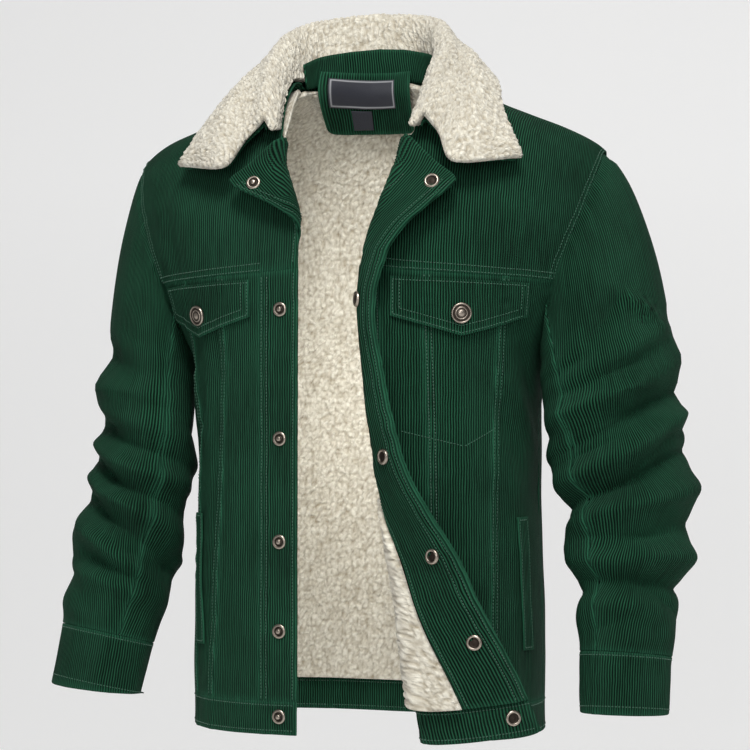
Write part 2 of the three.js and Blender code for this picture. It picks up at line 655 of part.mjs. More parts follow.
// Sleeve surface: g runs from the armhole through the cap, then down the arm.
function sleevePoint(name, angle, g) {
  const first = SLEEVES[name][0].z;
  if (g >= CAP_LENGTH) return ringPoint(name, angle, first - (g - CAP_LENGTH));
  const t = g / CAP_LENGTH;
  const share = (((angle % 360) + 360) % 360) / 360;
  const start = ARMHOLES[name].getPointAt(share);
  const end = ringPoint(name, angle, first);
  const lifted = (0.5 + 0.5 * Math.cos(angle * RAD)) ** 2;
  const middle = start.clone().lerp(end, 0.5);
  middle.x += SIDES[name] * CAP_BULGE.out * lifted;
  middle.z += CAP_BULGE.up * lifted;
  const point = start.multiplyScalar((1 - t) ** 2)
    .addScaledVector(middle, 2 * t * (1 - t))
    .addScaledVector(end, t * t);
  const outwards = new THREE.Vector3(
    SIDES[name] * Math.cos(angle * RAD), -Math.sin(angle * RAD), 0,
  );
  return point.addScaledVector(outwards, foldRise(name, angle, point.z) * t * (1 - t) * 2);
}

function onSleeve(name, angle, g, out) {
  const at = Math.max(g, 2 * STEP);
  const surface = (a, b) => sleevePoint(name, a, b);
  const normal = normalOf(surface, angle, at, 1, STEP).multiplyScalar(SIDES[name]);
  return sleevePoint(name, angle, g).addScaledVector(normal, out);
}

function makeSleeve(name) {
  const rows = SLEEVES[name];
  const wrist = CAP_LENGTH + rows[0].z - rows[rows.length - 1].z;
  const cuff = wrist - CUFF_HEIGHT;
  const { front, back } = SLEEVE_SEAMS;
  const pieces = [
    { piece: 'upper_sleeve', from: back - 360, to: front, columns: SLEEVE_COLUMNS.upper },
    { piece: 'under_sleeve', from: front, to: back, columns: SLEEVE_COLUMNS.under },
  ];
  for (const { piece, from, to, columns } of pieces) {
    wall(`${piece}_${name}`, CORDUROY, columns, SLEEVE_ROWS, (c, t, layer) => {
      const angle = mix(from + SLEEVE_SEAM_GAP, to - SLEEVE_SEAM_GAP, c);
      return onSleeve(name, angle, mix(cuff - SEAM_GAP, SLEEVE_START, t), -CLOTH * layer);
    });
  }
  wall(`cuff_${name}`, CORDUROY, SLEEVE_COLUMNS.cuff, 1, (c, t, layer) => (
    onSleeve(name, 360 * c, mix(wrist, cuff, t), -BAND_CLOTH * layer)
  ), true);
}

// Section of the collar: `at` runs from the right end to the left one, -1 to 1, and w from the
// root over the roll to the outer edge.
function collarPoint(at, w) {
  const side = at < 0 ? -1 : 1;
  const spot = (column) => new THREE.Vector3(...[0, 1, 2].map((axis) => {
    const rows = COLLAR.map((row) => ({ at: row.at, value: row[column][axis] }));
    return read(rows, 'at', 'value', Math.abs(at));
  }));
  const [root, crest, leaf, edge] = ['root', 'crest', 'leaf', 'edge'].map(spot);
  const drift = side * read(COLLAR, 'at', 'drift', Math.abs(at));
  const tilt = side * read(COLLAR, 'at', 'tilt', Math.abs(at));
  for (const point of [crest, leaf, edge]) point.x += drift;
  for (const point of [leaf, edge]) point.z += tilt;
  const away = edge.clone().sub(root).setZ(0).normalize().multiplyScalar(COLLAR_ROLL);
  const down = new THREE.Vector3(0, 0, -COLLAR_ROLL);
  const knots = [
    root,
    crest.clone().sub(away).add(down),
    crest,
    crest.clone().add(away).add(down),
    leaf,
    edge,
  ];
  const rows = knots.map((point, k) => ({ w: COLLAR_PLACES[k], x: point.x, y: point.y, z: point.z }));
  return new THREE.Vector3(
    side * read(rows, 'w', 'x', w), read(rows, 'w', 'y', w), read(rows, 'w', 'z', w),
  );
}

function onCollar(at, w, out) {
  const [a, b] = [Math.min(Math.max(at, -0.99), 0.99), Math.min(Math.max(w, 0.01), 0.99)];
  const normal = normalOf(collarPoint, a, b, 0.01, 0.01);
  return collarPoint(at, w).addScaledVector(normal, out);
}

function makeCollar() {
  const { gap, reach, low, high } = UNDER_COLLAR;
  const under = [-COLLAR_PILE - gap, -COLLAR_PILE - gap - CLOTH];
  const rows = COLLAR_ROWS.length - 1;
  wall('collar', FLEECE, COLLAR_COLUMNS.leaf, rows, (c, t, layer) => (
    onCollar(2 * c - 1, COLLAR_ROWS[Math.round(t * rows)], -COLLAR_PILE * layer)
  ));
  wall('under_collar', CORDUROY, COLLAR_COLUMNS.leaf, rows, (c, t, layer) => onCollar(
    reach * (2 * c - 1), mix(low, high, COLLAR_ROWS[Math.round(t * rows)]), under[layer],
  ));
  wall('collar_stand', CORDUROY, COLLAR_COLUMNS.stand, 2, (c, t, layer) => onCollar(
    STAND_BAND.reach * (2 * c - 1), mix(STAND_BAND.low, STAND_BAND.high, t),
    layer ? STAND_BAND.lift : STAND_BAND.lift + CLOTH,
  ));
}

// Flap: its lower edge falls from both corners to the tip.
function makeFlap(name) {
  const { inner, outer, tip } = FLAPS[name];
  const middle = (tip - inner) / (outer - inner);
  const low = (c) => mix(FLAP_TIP_V, FLAP_CORNER_V, Math.abs(c - middle)
    / (c < middle ? middle : 1 - middle));
  panel(`flap_${name}`, CORDUROY, (u, v, out) => onFront(name, u, v, out), {
    low, high: FLAP_TOP_V, inner, outer, columns: TRIM_COLUMNS.flap, levels: FRONT_ROWS[name],
    layers: [LAYER_GAP + CLOTH, LAYER_GAP],
  });
}

function makeWelt(name) {
  const side = name === 'left' ? 1 : -1;
  const lean = (v) => side * WELT.slant * (WELT.top - v) / (WELT.top - WELT.bottom);
  const inner = (v) => WELT.inner[name] + lean(v);
  panel(`welt_${name}`, CORDUROY, (u, v, out) => onFront(name, u, v, out), {
    low: WELT.bottom, high: WELT.top, inner, outer: (v) => inner(v) + WELT.width,
    columns: TRIM_COLUMNS.welt, levels: FRONT_ROWS[name],
    layers: [LAYER_GAP + CLOTH, LAYER_GAP],
  });
}

// Place on the label patch, moved out from it into the neck.
function patchPoint(u, v) {
  const at = (column) => read(PATCH_FALL, 'v', column, v);
  return new THREE.Vector3(u, at('y') - at('bow') * (u / BOW_AT) ** 2, at('z'));
}

function onPatch(u, v, out) {
  const top = PATCH_FALL[PATCH_FALL.length - 1].v;
  const height = Math.min(Math.max(v, STEP), top - STEP);
  const normal = normalOf(patchPoint, u, height, STEP, STEP);
  return patchPoint(u, v).addScaledVector(normal, out);
}

function makeLabels() {
  for (const { name, centre, halfWidth, low, high, lift, thick } of LABELS) {
    panel(name, name === 'label_patch' ? CORDUROY : LABEL, onPatch, {
      low, high, inner: centre - halfWidth, outer: centre + halfWidth,
      columns: TRIM_COLUMNS.label, levels: LABEL_ROWS, layers: [lift + thick, lift],
    });
  }
}

// Small turned piece, stood on a place of the cloth with its axis along the normal there.
function hardware(name, profile, at, normal) {
  const outline = profile.map(({ r, z }) => new THREE.Vector2(r, z));
  const lathe = new THREE.LatheGeometry(outline, SNAP_SIDES);
  const turn = new THREE.Quaternion().setFromUnitVectors(new THREE.Vector3(0, 1, 0), normal);
  const mesh = new THREE.Mesh(lathe, new THREE.MeshStandardMaterial(METAL));
  mesh.name = name;
  mesh.position.copy(at);
  mesh.quaternion.copy(turn);
  jacket.add(mesh);
}

// Stands a turned piece on a front: `face` is 1 on the cloth's outside and -1 on its inside.
function onCloth(name, profile, side, u, v, depth, face) {
  const lift = face > 0 ? HARDWARE_LIFT.outside : HARDWARE_LIFT.inside;
  const base = onFront(side, u, v, depth + face * lift);
  const away = onFront(side, u, v, depth + face * (lift + 1));
  hardware(name, profile, base, away.sub(base).normalize());
}

function makeHardware() {
  const faceDepth = -2 * CLOTH - FACING_GAP;
  SNAPS.forEach(({ stud, socket }, k) => {
    const right = read(FRONTS.right, 'v', 'edge', stud) + SNAP_INSET;
    const left = read(FRONTS.left, 'v', 'edge', socket) + SNAP_INSET;
    const lapel = stud > YOKE_V;
    onCloth(`stud_${k + 1}`, STUD, 'right', right, stud, lapel ? faceDepth : 0, lapel ? -1 : 1);
    onCloth(`socket_${k + 1}`, SOCKET, 'left', left, socket, faceDepth, -1);
  });
  const buttonV = mix(FLAP_TIP_V, FLAP_TOP_V, BUTTON_HEIGHT);
  for (const name of Object.keys(SIDES)) {
    const depth = LAYER_GAP + CLOTH;
    onCloth(`flap_button_${name}`, BUTTON, name, FLAPS[name].tip, buttonV, depth, 1);
  }
}

makeBack();
for (const name of Object.keys(SIDES)) {
  makeFront(name);
  makeSleeve(name);
  makeFlap(name);
  makeWelt(name);
}
makeCollar();
makeLabels();
makeHardware();

export default jacket;
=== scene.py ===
# %% [markdown]
# # A corduroy jacket, dressed over its fixed frame
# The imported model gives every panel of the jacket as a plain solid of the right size. This lesson
# lays the real cloth over those solids: ribbed corduroy outside, curly pile inside, thread along
# the seams and snaps on the fronts. The tables are in millimetres, as a tailor writes them, and a
# mesh is turned into metres as it is made.

# %% Load the frame
import math
from functools import partial

import bpy
import numpy as np
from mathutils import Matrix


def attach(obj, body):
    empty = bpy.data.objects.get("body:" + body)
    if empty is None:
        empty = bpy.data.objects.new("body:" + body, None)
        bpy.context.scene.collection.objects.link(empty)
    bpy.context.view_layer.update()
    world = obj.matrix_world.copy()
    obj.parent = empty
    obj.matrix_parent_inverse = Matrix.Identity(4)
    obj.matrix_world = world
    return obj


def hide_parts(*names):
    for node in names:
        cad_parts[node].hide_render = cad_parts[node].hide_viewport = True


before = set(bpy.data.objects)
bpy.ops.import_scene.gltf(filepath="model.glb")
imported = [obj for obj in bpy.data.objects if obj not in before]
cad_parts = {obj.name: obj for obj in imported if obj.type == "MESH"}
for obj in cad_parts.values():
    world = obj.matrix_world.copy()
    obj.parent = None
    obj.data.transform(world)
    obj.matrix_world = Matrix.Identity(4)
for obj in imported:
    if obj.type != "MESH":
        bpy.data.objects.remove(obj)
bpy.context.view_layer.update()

MM = 0.001
SIDES = {"left": 1, "right": -1}

# %% [markdown]
# ## Camera
# The photograph was taken from two metres away, level with the middle of the jacket and 14 degrees
# round towards the wearer's left. A lens with a field of 21 degrees makes one millimetre at the
# middle of the jacket one pixel wide in a frame of 750 pixels.

# %% Camera
AZIMUTH = math.radians(14)
DISTANCE = 2.0
HALF_VIEW = 0.375
AIM = np.array([0.0, 0.0, -0.300])
SHIFT = 5 / 750

lens = bpy.data.cameras.new("portrait_camera")
lens.sensor_width = 36
lens.angle = 2 * math.atan(HALF_VIEW / DISTANCE)
lens.shift_x = SHIFT
camera = bpy.data.objects.new("portrait_camera", lens)
camera.location = AIM + DISTANCE * np.array([math.sin(AZIMUTH), -math.cos(AZIMUTH), 0])
camera.rotation_euler = (math.pi / 2, 0, AZIMUTH)
bpy.context.scene.collection.objects.link(camera)
bpy.context.scene.camera = camera
print("field of view in degrees:", round(math.degrees(lens.angle), 2))

# %% [markdown]
# ## Reading a tailor's table
# A garment is drawn from a few measured places. Between them its edges run in smooth curves, so a
# table is read with a cubic curve that passes through every row. Whole arrays go through at once.

# %% Smooth tables
def table(columns, *rows):
    """Named columns of a short table, each as an array."""
    values = np.array(rows, float).T
    return dict(zip(columns.split(), values))


def curve(keys, values, at):
    """Cubic curve through the values at the keys. The slope at a key is the slope between the keys
    beside it, and beyond the ends the value stays. A key has one number, or a grid of points of
    which each place takes its own."""
    last = len(keys) - 1
    before = np.maximum(np.arange(last + 1) - 1, 0)
    after = np.minimum(np.arange(last + 1) + 1, last)
    reach = (keys[after] - keys[before]).reshape(-1, *[1] * (values.ndim - 1))
    slope = (values[after] - values[before]) / reach
    x = np.clip(at, keys[0], keys[-1])
    i = np.clip(np.searchsorted(keys, x) - 1, 0, last - 1)
    span = keys[i + 1] - keys[i]
    t = (x - keys[i]) / span
    if values.ndim > 1:
        span, t = span[..., None], t[..., None]

    def pick(rows, k):
        return rows[k] if rows.ndim == 1 else np.take_along_axis(rows, k[None, ..., None], 0)[0]

    ends = pick(values, i) * (2 * t**3 - 3 * t**2 + 1) + pick(values, i + 1) * (3 * t**2 - 2 * t**3)
    leave, arrive = t**3 - 2 * t**2 + t, t**3 - t**2
    return ends + span * (pick(slope, i) * leave + pick(slope, i + 1) * arrive)


def read(rows, column, at):
    """Curve through one column of a table, whose first column is the key."""
    return curve(next(iter(rows.values())), rows[column], at)


def smooth(t):
    """Soft step from 0 to 1 while t runs from 0 to 1: 3 t squared less 2 t cubed."""
    t = np.clip(t, 0, 1)
    return t * t * (3 - 2 * t)


def mix(a, b, t):
    """Straight line from a to b."""
    return a + (b - a) * t


def unit(vectors):
    """Vectors brought to a length of one."""
    return vectors / np.linalg.norm(vectors, axis=-1, keepdims=True)


def least(*values):
    """Smallest of several arrays at each place."""
    return np.minimum.reduce(np.broadcast_arrays(*values))


def distances(line):
    """Distance of each point of a line from its start."""
    return np.concatenate([[0], np.cumsum(np.linalg.norm(np.diff(line, axis=0), axis=1))])


# %% [markdown]
# ## The figure inside
# The body of the jacket is one closed surface. A place on it has an angle round the figure, from
# the centre front, and a height v along the cloth: 0 at the chest, negative down to the hem and
# positive over the chest up to the shoulder. The section is a rounded box, wider than deep.

# %% Body tables
HEM, BAND, YOKE, ARMPIT, RIDGE = -408.0, -377.0, 22.0, -60.0, 276.46
CHEST_Z, SHOULDER_ARC, RIDGE_HALF = -230.0, 176.0, 239.0
HALF_WIDTH, HALF_DEPTH, POWER, BACK_DROP = 178.0, 138.0, 2.4, 20.0

FIGURE = table(
    "v half_width half_depth centre",
    (-408, 174, 138, 0), (-300, 174, 137, 0), (-180, 170, 136, 0), (-60, 175, 135, 0),
    (-10, 195, 134, 0), (28, 215, 134, 1), (63, 232, 134, 2), (114, 243, 134, 3),
    (170, 245, 134, 4), (277, 239, 134, 6),
)
SHOULDER = table(
    "x z", (-72, -5), (0, 38), (72, -5), (131, -31), (168, -47), (205, -62), (228, -76), (242, -90),
)
ARMHOLE = table(
    "v angle", (-60, 90), (-48, 82), (-15, 73), (28, 67), (63, 65.5), (114, 67.5), (170, 71),
    (225, 75), (277, 79),
)
FRONTS = {
    "left": table(
        "v edge fold turn radius",
        (-408, -20, 91, 166, 8), (-360, -12, 86, 164, 8), (-285, -1, 78, 151, 9),
        (-237, -2, 71, 140, 9), (-150, 2, 53, 134, 9), (-60, 5, 41, 138, 8), (-6, 4, 37, 140, 8),
        (30, 2, 40, 144, 7), (50, 0, 47, 150, 7), (65, -2, 52, 158, 6), (93, -4, 61, 170, 5),
        (106, 22, 64, 172, 5), (130, 62, 66, 172, 5), (145, 66, 60, 172, 5),
        (200, 70, 40, 172, 5), (277, 73, 30, 172, 5),
    ),
    "right": table(
        "v edge fold turn radius",
        (-408, 38, 10, 160, 8), (20, 38, 20, 160, 8), (46, 37, 43, 160, 7), (66, 22, 51, 164, 7),
        (93, 2, 62, 170, 6), (106, 26, 66, 172, 6), (130, 62, 66, 172, 5), (145, 66, 60, 172, 5),
        (200, 70, 40, 172, 5), (277, 73, 30, 172, 5),
    ),
}
FRONT_SEAMS = {
    "left": table("v inner outer", (-377, 92, 150), (-150, 88, 152), (22, 82, 160)),
    "right": table("v inner outer", (-377, 138, 172), (-150, 122, 172), (22, 116, 172)),
}
FACING = table(
    "v width", (-408, 50), (-60, 50), (30, 60), (93, 64), (117, 32), (141, 2.6), (277, 2.6),
)
print("body tables:", len(FIGURE["v"]), "heights and", len(FRONTS["left"]["v"]), "front rows")

# %% Surface of the body
def section(angle):
    """Reference section at an angle in degrees, as shares of its half width and half depth: the
    point of |x / width| ^ p + |y / depth| ^ p = 1 in that direction."""
    s, c = np.sin(np.radians(angle)), np.cos(np.radians(angle))
    r = (abs(s / HALF_WIDTH) ** POWER + abs(c / HALF_DEPTH) ** POWER) ** (-1 / POWER)
    return r * s / HALF_WIDTH, r * c / HALF_DEPTH


DEGREES = np.arange(181.0)
across_all, forward_all = section(DEGREES)
steps_all = np.hypot(np.diff(across_all) * HALF_WIDTH, np.diff(forward_all) * HALF_DEPTH)
ARC = np.concatenate([[0], np.cumsum(steps_all)])


def widening(v):
    """Width of the figure at a height, as a share of the reference section's."""
    return read(FIGURE, "half_width", v) / HALF_WIDTH


def arc_at(angle, v):
    """Distance round the body from the centre front to an angle."""
    return np.interp(angle, DEGREES, ARC) * widening(v)


def angle_at(u, v):
    """Angle at a distance round the body from the centre front."""
    return np.sign(u) * np.interp(abs(u) / widening(v), ARC, DEGREES)


def body_point(angle, v):
    """Outer face of the body. Above the chest the depth closes as a quarter ellipse on the
    shoulder line, and below it the cloth hangs straight, a little lower at the back."""
    across, forward = section(angle)
    lean = np.maximum(v, 0) / SHOULDER_ARC
    x = across * read(FIGURE, "half_width", v)
    y = read(FIGURE, "centre", v) - forward * read(FIGURE, "half_depth", v) * np.cos(lean)
    top = read(SHOULDER, "z", abs(across) * RIDGE_HALF)
    drop = BACK_DROP * (0.5 - 0.5 * np.cos(np.radians(angle))) * (np.minimum(v, 0) / HEM) ** 2
    z = np.where(v > 0, CHEST_Z + np.sin(lean) * (top - CHEST_Z), CHEST_Z + v - drop)
    return np.stack(np.broadcast_arrays(x, y, z), -1)


def normals(surface, a, b, step_a, step_b):
    """Direction square to a surface: the cross product of a small step along each parameter."""
    return unit(np.cross(
        surface(a + step_a, b) - surface(a - step_a, b),
        surface(a, b + step_b) - surface(a, b - step_b),
    ))


def on_body(angle, v, out):
    """Place on the body, moved out along its normal."""
    square = normals(body_point, angle, np.minimum(v, RIDGE - 0.5), 0.5, 0.5)
    return body_point(angle, v) + square * np.asarray(out)[..., None]


print("half the chest measures", round(float(ARC[-1])), "mm")

# %% [markdown]
# ## Creases placed one by one
# Cloth never lies as clean as its pattern. Each crease here is one row of a table: where its
# middle is, which way it runs, how high it stands, how wide and how long it is. A second helper
# gives a seeded unevenness, so no two stretches of cloth are quite alike, and a third gathers the
# cloth in small puckers beside a seam.

# %% Crease helpers
def creases(a, b, rows):
    """Sum of soft ridges and troughs on a plane. A row is the middle's two places, a direction in
    degrees, a rise, a width and a length. Each ridge is its rise times the exponential of minus
    the squares of the distance across it over its width and along it over its length. A seventh
    number bends its line, as the square of the distance along."""
    total = np.zeros(np.broadcast(a, b).shape)
    for at_a, at_b, turn, rise, width, length, *bend in rows:
        c, s = math.cos(math.radians(turn)), math.sin(math.radians(turn))
        along = (a - at_a) * c + (b - at_b) * s
        across = (b - at_b) * c - (a - at_a) * s - sum(bend) * along**2 / 1000
        total = total + rise * np.exp(-((across / width) ** 2) - (along / length) ** 2)
    return total


def uneven(a, b, seed, wavelength, waves=7):
    """Gentle unevenness between about -1 and 1: a sum of sine waves in seeded directions."""
    rng = np.random.default_rng(seed)
    total = 0.0
    for _ in range(waves):
        turn, phase, scale = rng.uniform(0, 2 * np.pi, 2).tolist() + [rng.uniform(0.6, 1.6)]
        k = 2 * np.pi / (wavelength * scale)
        total = total + np.sin(k * (a * math.cos(turn) + b * math.sin(turn)) + phase)
    return total / waves * 1.6


def pucker(distance, along, seed, wavelength=13.0, reach=7.0):
    """Small gathers beside a seam: uneven waves along it that die away on both sides."""
    return uneven(along, 0.15 * distance, seed, wavelength, 5) * np.exp(-((distance / reach) ** 2))


def lap(distance, width=8.0, height=0.8):
    """Raised band of a lapped seam, from its edge at 0 to its second row of stitches."""
    return height * smooth(distance / 1.2 + 0.5) * smooth((width - distance) / 1.2 + 0.5)


# %% [markdown]
# ## Fronts and back
# A place on a front is given by its distance u from the centre line, along the flat cloth. Past
# the fold line the cloth rolls outwards and then runs straight, which turns the left front back
# and makes both lapels. The creases follow the photograph: drag lines from the armpit, a soft
# break below each flap and gathers along the plackets.

# %% Fronts and back surfaces
FRONT_CREASES = {
    "left": [
        (205, -70, 120, -4, 10, 48), (190, -98, 128, 3, 10, 46),
        (176, -128, 120, -2.6, 9, 40), (120, -60, 84, 1.6, 12, 60),
        (104, -170, 86, -1.8, 9, 80, 0.4), (136, -210, 96, 1.8, 12, 90),
        (168, -250, 88, -2.2, 12, 90), (120, -300, 84, 1.6, 14, 60),
        (150, 70, 12, 1.8, 18, 60), (190, 60, 70, -2.4, 12, 60),
        (120, 150, 150, 1.8, 16, 60), (200, -330, 92, -2, 11, 50),
    ],
    "right": [
        (205, -60, 118, -4.2, 10, 50), (188, -92, 126, 3.2, 10, 48),
        (176, -124, 122, -2.8, 8, 42), (150, -80, 96, 2.2, 9, 60),
        (132, -110, 92, -2.2, 8, 70, 0.3), (108, -150, 90, 1.8, 11, 90),
        (92, -220, 88, -1.6, 9, 90), (150, -230, 94, 1.8, 10, 90),
        (120, -320, 96, -1.8, 12, 60), (190, 60, 74, -2.6, 11, 60),
        (140, 80, 20, 1.8, 18, 60), (120, 150, 30, 1.6, 16, 60),
    ],
}
BACK_CREASES = [
    (-190, -40, 60, -4, 11, 60), (-170, -80, 56, 3, 11, 60),
    (190, -44, 118, -4, 11, 60), (168, -86, 124, 3, 11, 60),
    (0, -140, 90, -1.8, 26, 120), (-60, -250, 84, 1.8, 14, 90),
    (64, -230, 96, 1.6, 14, 90), (-20, -310, 8, -1.8, 12, 110),
    (0, 140, 0, 1.6, 20, 120), (-120, 110, 40, 1.8, 18, 70),
    (120, 104, 140, 1.8, 18, 70), (40, -352, 4, 1.4, 10, 120),
]


def edge_of(side, v):
    """Free edge of a front, as a distance from the centre line."""
    return read(FRONTS[side], "edge", v)


def seam_of(side, column, v):
    """Seam of a front panel below the yoke, as a distance from the centre line."""
    return read(FRONT_SEAMS[side], column, v)


def side_limit(v):
    """Side of the shell: the side seam up to the armpit, then the armhole."""
    return arc_at(np.where(v < ARMPIT, 90, read(ARMHOLE, "angle", v)), v)


def front_relief(side, u, v):
    """Height of a front's cloth over its clean form: creases, unevenness, laps and puckers."""
    seed = 11 if side == "left" else 47
    calm = smooth((u - edge_of(side, v)) / 30) * smooth((RIDGE - v) / 40)
    relief = creases(u, v, FRONT_CREASES[side]) * calm + 0.7 * uneven(u, v, seed, 70)
    below = smooth((YOKE - v) / 2 + 0.5)
    relief = relief + lap(v - YOKE) + 0.5 * pucker(v - YOKE - 5, u, seed + 1)
    free = u - edge_of(side, v)
    relief = relief + 0.55 * pucker(free - 6, v, seed + 2) + 0.5 * pucker(free - 34, v, seed + 3)
    relief = relief + lap(free - 29, 8) * below
    for k, column in enumerate(("inner", "outer")):
        past = u - seam_of(side, column, v)
        relief = relief + below * (lap(past) + 0.6 * pucker(past - 4, v, seed + 4 + k))
    off_side = side_limit(v) - u
    return relief + 0.6 * pucker(off_side - 6, v, seed + 7)


def turned_rise(side, v, rest):
    """How far the turned cloth of the left front climbs towards its free edge."""
    if side == "right":
        return 0 * rest
    return 0.18 * smooth((-150 - v) / 150) * rest * rest / (rest + 25)


def front(side, u, v, out):
    """Place on a front. Past the fold the cloth bends round the roll by at most its turn, and
    what is left runs straight on from there."""
    out = out + front_relief(side, u, v)
    rows = FRONTS[side]
    fold, radius = read(rows, "fold", v), read(rows, "radius", v)
    past = fold - u
    bend = np.minimum(np.maximum(past, 0) / radius, np.radians(read(rows, "turn", v)))
    rest = np.maximum(past, 0) - bend * radius
    turned = fold - radius * np.sin(bend) - rest * np.cos(bend) + out * np.sin(bend)
    lift = radius * (1 - np.cos(bend)) + rest * np.sin(bend) + out * np.cos(bend)
    along = np.where(past > 0, turned, u)
    height = v + turned_rise(side, v, rest)
    return on_body(SIDES[side] * angle_at(along, height), height, np.where(past > 0, lift, out))


def back_seam(v):
    """Distance of the centre panel's seams from the centre back."""
    return mix(74, 118, (v - BAND) / (YOKE - BAND))


def back_relief(u, v):
    """Height of the back's cloth over its clean form."""
    relief = creases(u, v, BACK_CREASES) * smooth((RIDGE - v) / 50) + 0.7 * uneven(u, v, 83, 80)
    relief = relief + lap(v - YOKE) + 0.5 * pucker(v - YOKE - 5, u, 84)
    past = abs(u) - back_seam(v)
    below = smooth((YOKE - v) / 2 + 0.5)
    return relief + below * (lap(past) + 0.6 * pucker(past - 4, v + np.sign(u), 85))


def back(u, v, out):
    """Place on the back, at a distance u from its centre line."""
    angle = angle_at(abs(u), v)
    return on_body(np.where(u < 0, angle - 180, 180 - angle), v, out + back_relief(u, v))


counts = [len(rows) for rows in (*FRONT_CREASES.values(), BACK_CREASES)]
print("creases by hand, on the left, the right and the back:", counts)

# %% [markdown]
# ## Sleeves
# A sleeve starts as the armhole's own line, swells over the shoulder and then follows ovals down
# the arm. The big folds at the elbow are the strongest shapes of the whole jacket. Each is a ridge
# or a trough that runs partly round the arm and falls towards the front. The finer creases between
# them, and the steps that show in the outline, are rows of a second table.

# %% Sleeve tables
SLEEVES = {
    "left": table(
        "drop x y long short turn",
        (316, 243, -10, 73, 50, 42), (345, 246, -12, 73, 48, 40), (382, 253, -15, 71, 47, 38),
        (424, 260, -21, 65, 44, 36), (471, 263, -30, 59, 43, 30), (512, 263, -38, 50, 41, 25),
        (564, 261, -48, 44, 37, 20), (618, 261, -58, 42, 35, 15),
    ),
    "right": table(
        "drop x y long short turn",
        (316, 230, -10, 67, 43, 48), (345, 231, -12, 68, 42, 48), (385, 234, -15, 69, 44, 46),
        (430, 239, -21, 70, 46, 44), (470, 244, -30, 65, 49, 38), (512, 251, -38, 58, 46, 30),
        (561, 260, -48, 50, 42, 20), (614, 269, -58, 48, 38, 15),
    ),
}
CAP, CAP_UP, CUFF_HEIGHT = 100.0, 66.0, 54.0
CAP_OUT = {"left": 19.0, "right": 8.0}
SEAM_FRONT, SEAM_BACK = 125.0, 232.0

# A fold is its height, its angle round the arm, its rise, its width, its spread in degrees and
# its fall in millimetres a degree.
FOLDS = {
    "left": [
        (-235, 37, 5, 9, 24, -0.62), (-250, 76, -6, 10, 32, 1.06), (-272, 45, 5, 12, 50, 0.45),
        (-298, 75, -5, 9, 55, 0.4), (-320, 80, 7, 11, 65, 0.34), (-347, 70, -7, 10, 75, 0.33),
        (-377, 68, 8, 12, 78, 0.32), (-404, 65, -8, 9, 80, 0.25), (-429, 60, 8, 12, 85, 0.16),
        (-458, 50, -5, 10, 60, 0.15), (-479, 60, 6, 11, 80, 0.05), (-499, 65, -8, 8, 75, 0),
        (-514, 25, -4, 8, 35, -0.31), (-522, 90, 4, 10, 50, 0), (-372, 200, 6, 14, 60, 0.1),
        (-410, 220, -6, 12, 60, 0), (-446, 250, 6, 14, 60, -0.2), (-486, 270, -5, 12, 60, -0.2),
    ],
    "right": [
        (-254, 125, -4, 9, 35, 0.6), (-288, 50, -6, 12, 60, 0.2), (-316, 50, 6, 14, 60, 0.2),
        (-345, 70, 5, 12, 70, 0.2), (-370, 80, -6, 9, 75, 0.25), (-394, 88, 8, 11, 70, 0.2),
        (-414, 80, -7, 9, 75, 0.3), (-434, 88, 8, 11, 65, 0.35), (-457, 85, -7, 9, 75, 0.35),
        (-481, 85, 8, 11, 60, 0.4), (-498, 95, -6, 8, 50, 0.2), (-513, 85, 7, 11, 60, 0.1),
        (-487, 160, -7, 14, 30, 0), (-390, 215, 6, 14, 55, 0.1), (-432, 235, -6, 12, 55, 0),
        (-470, 260, 6, 14, 60, -0.2),
    ],
}
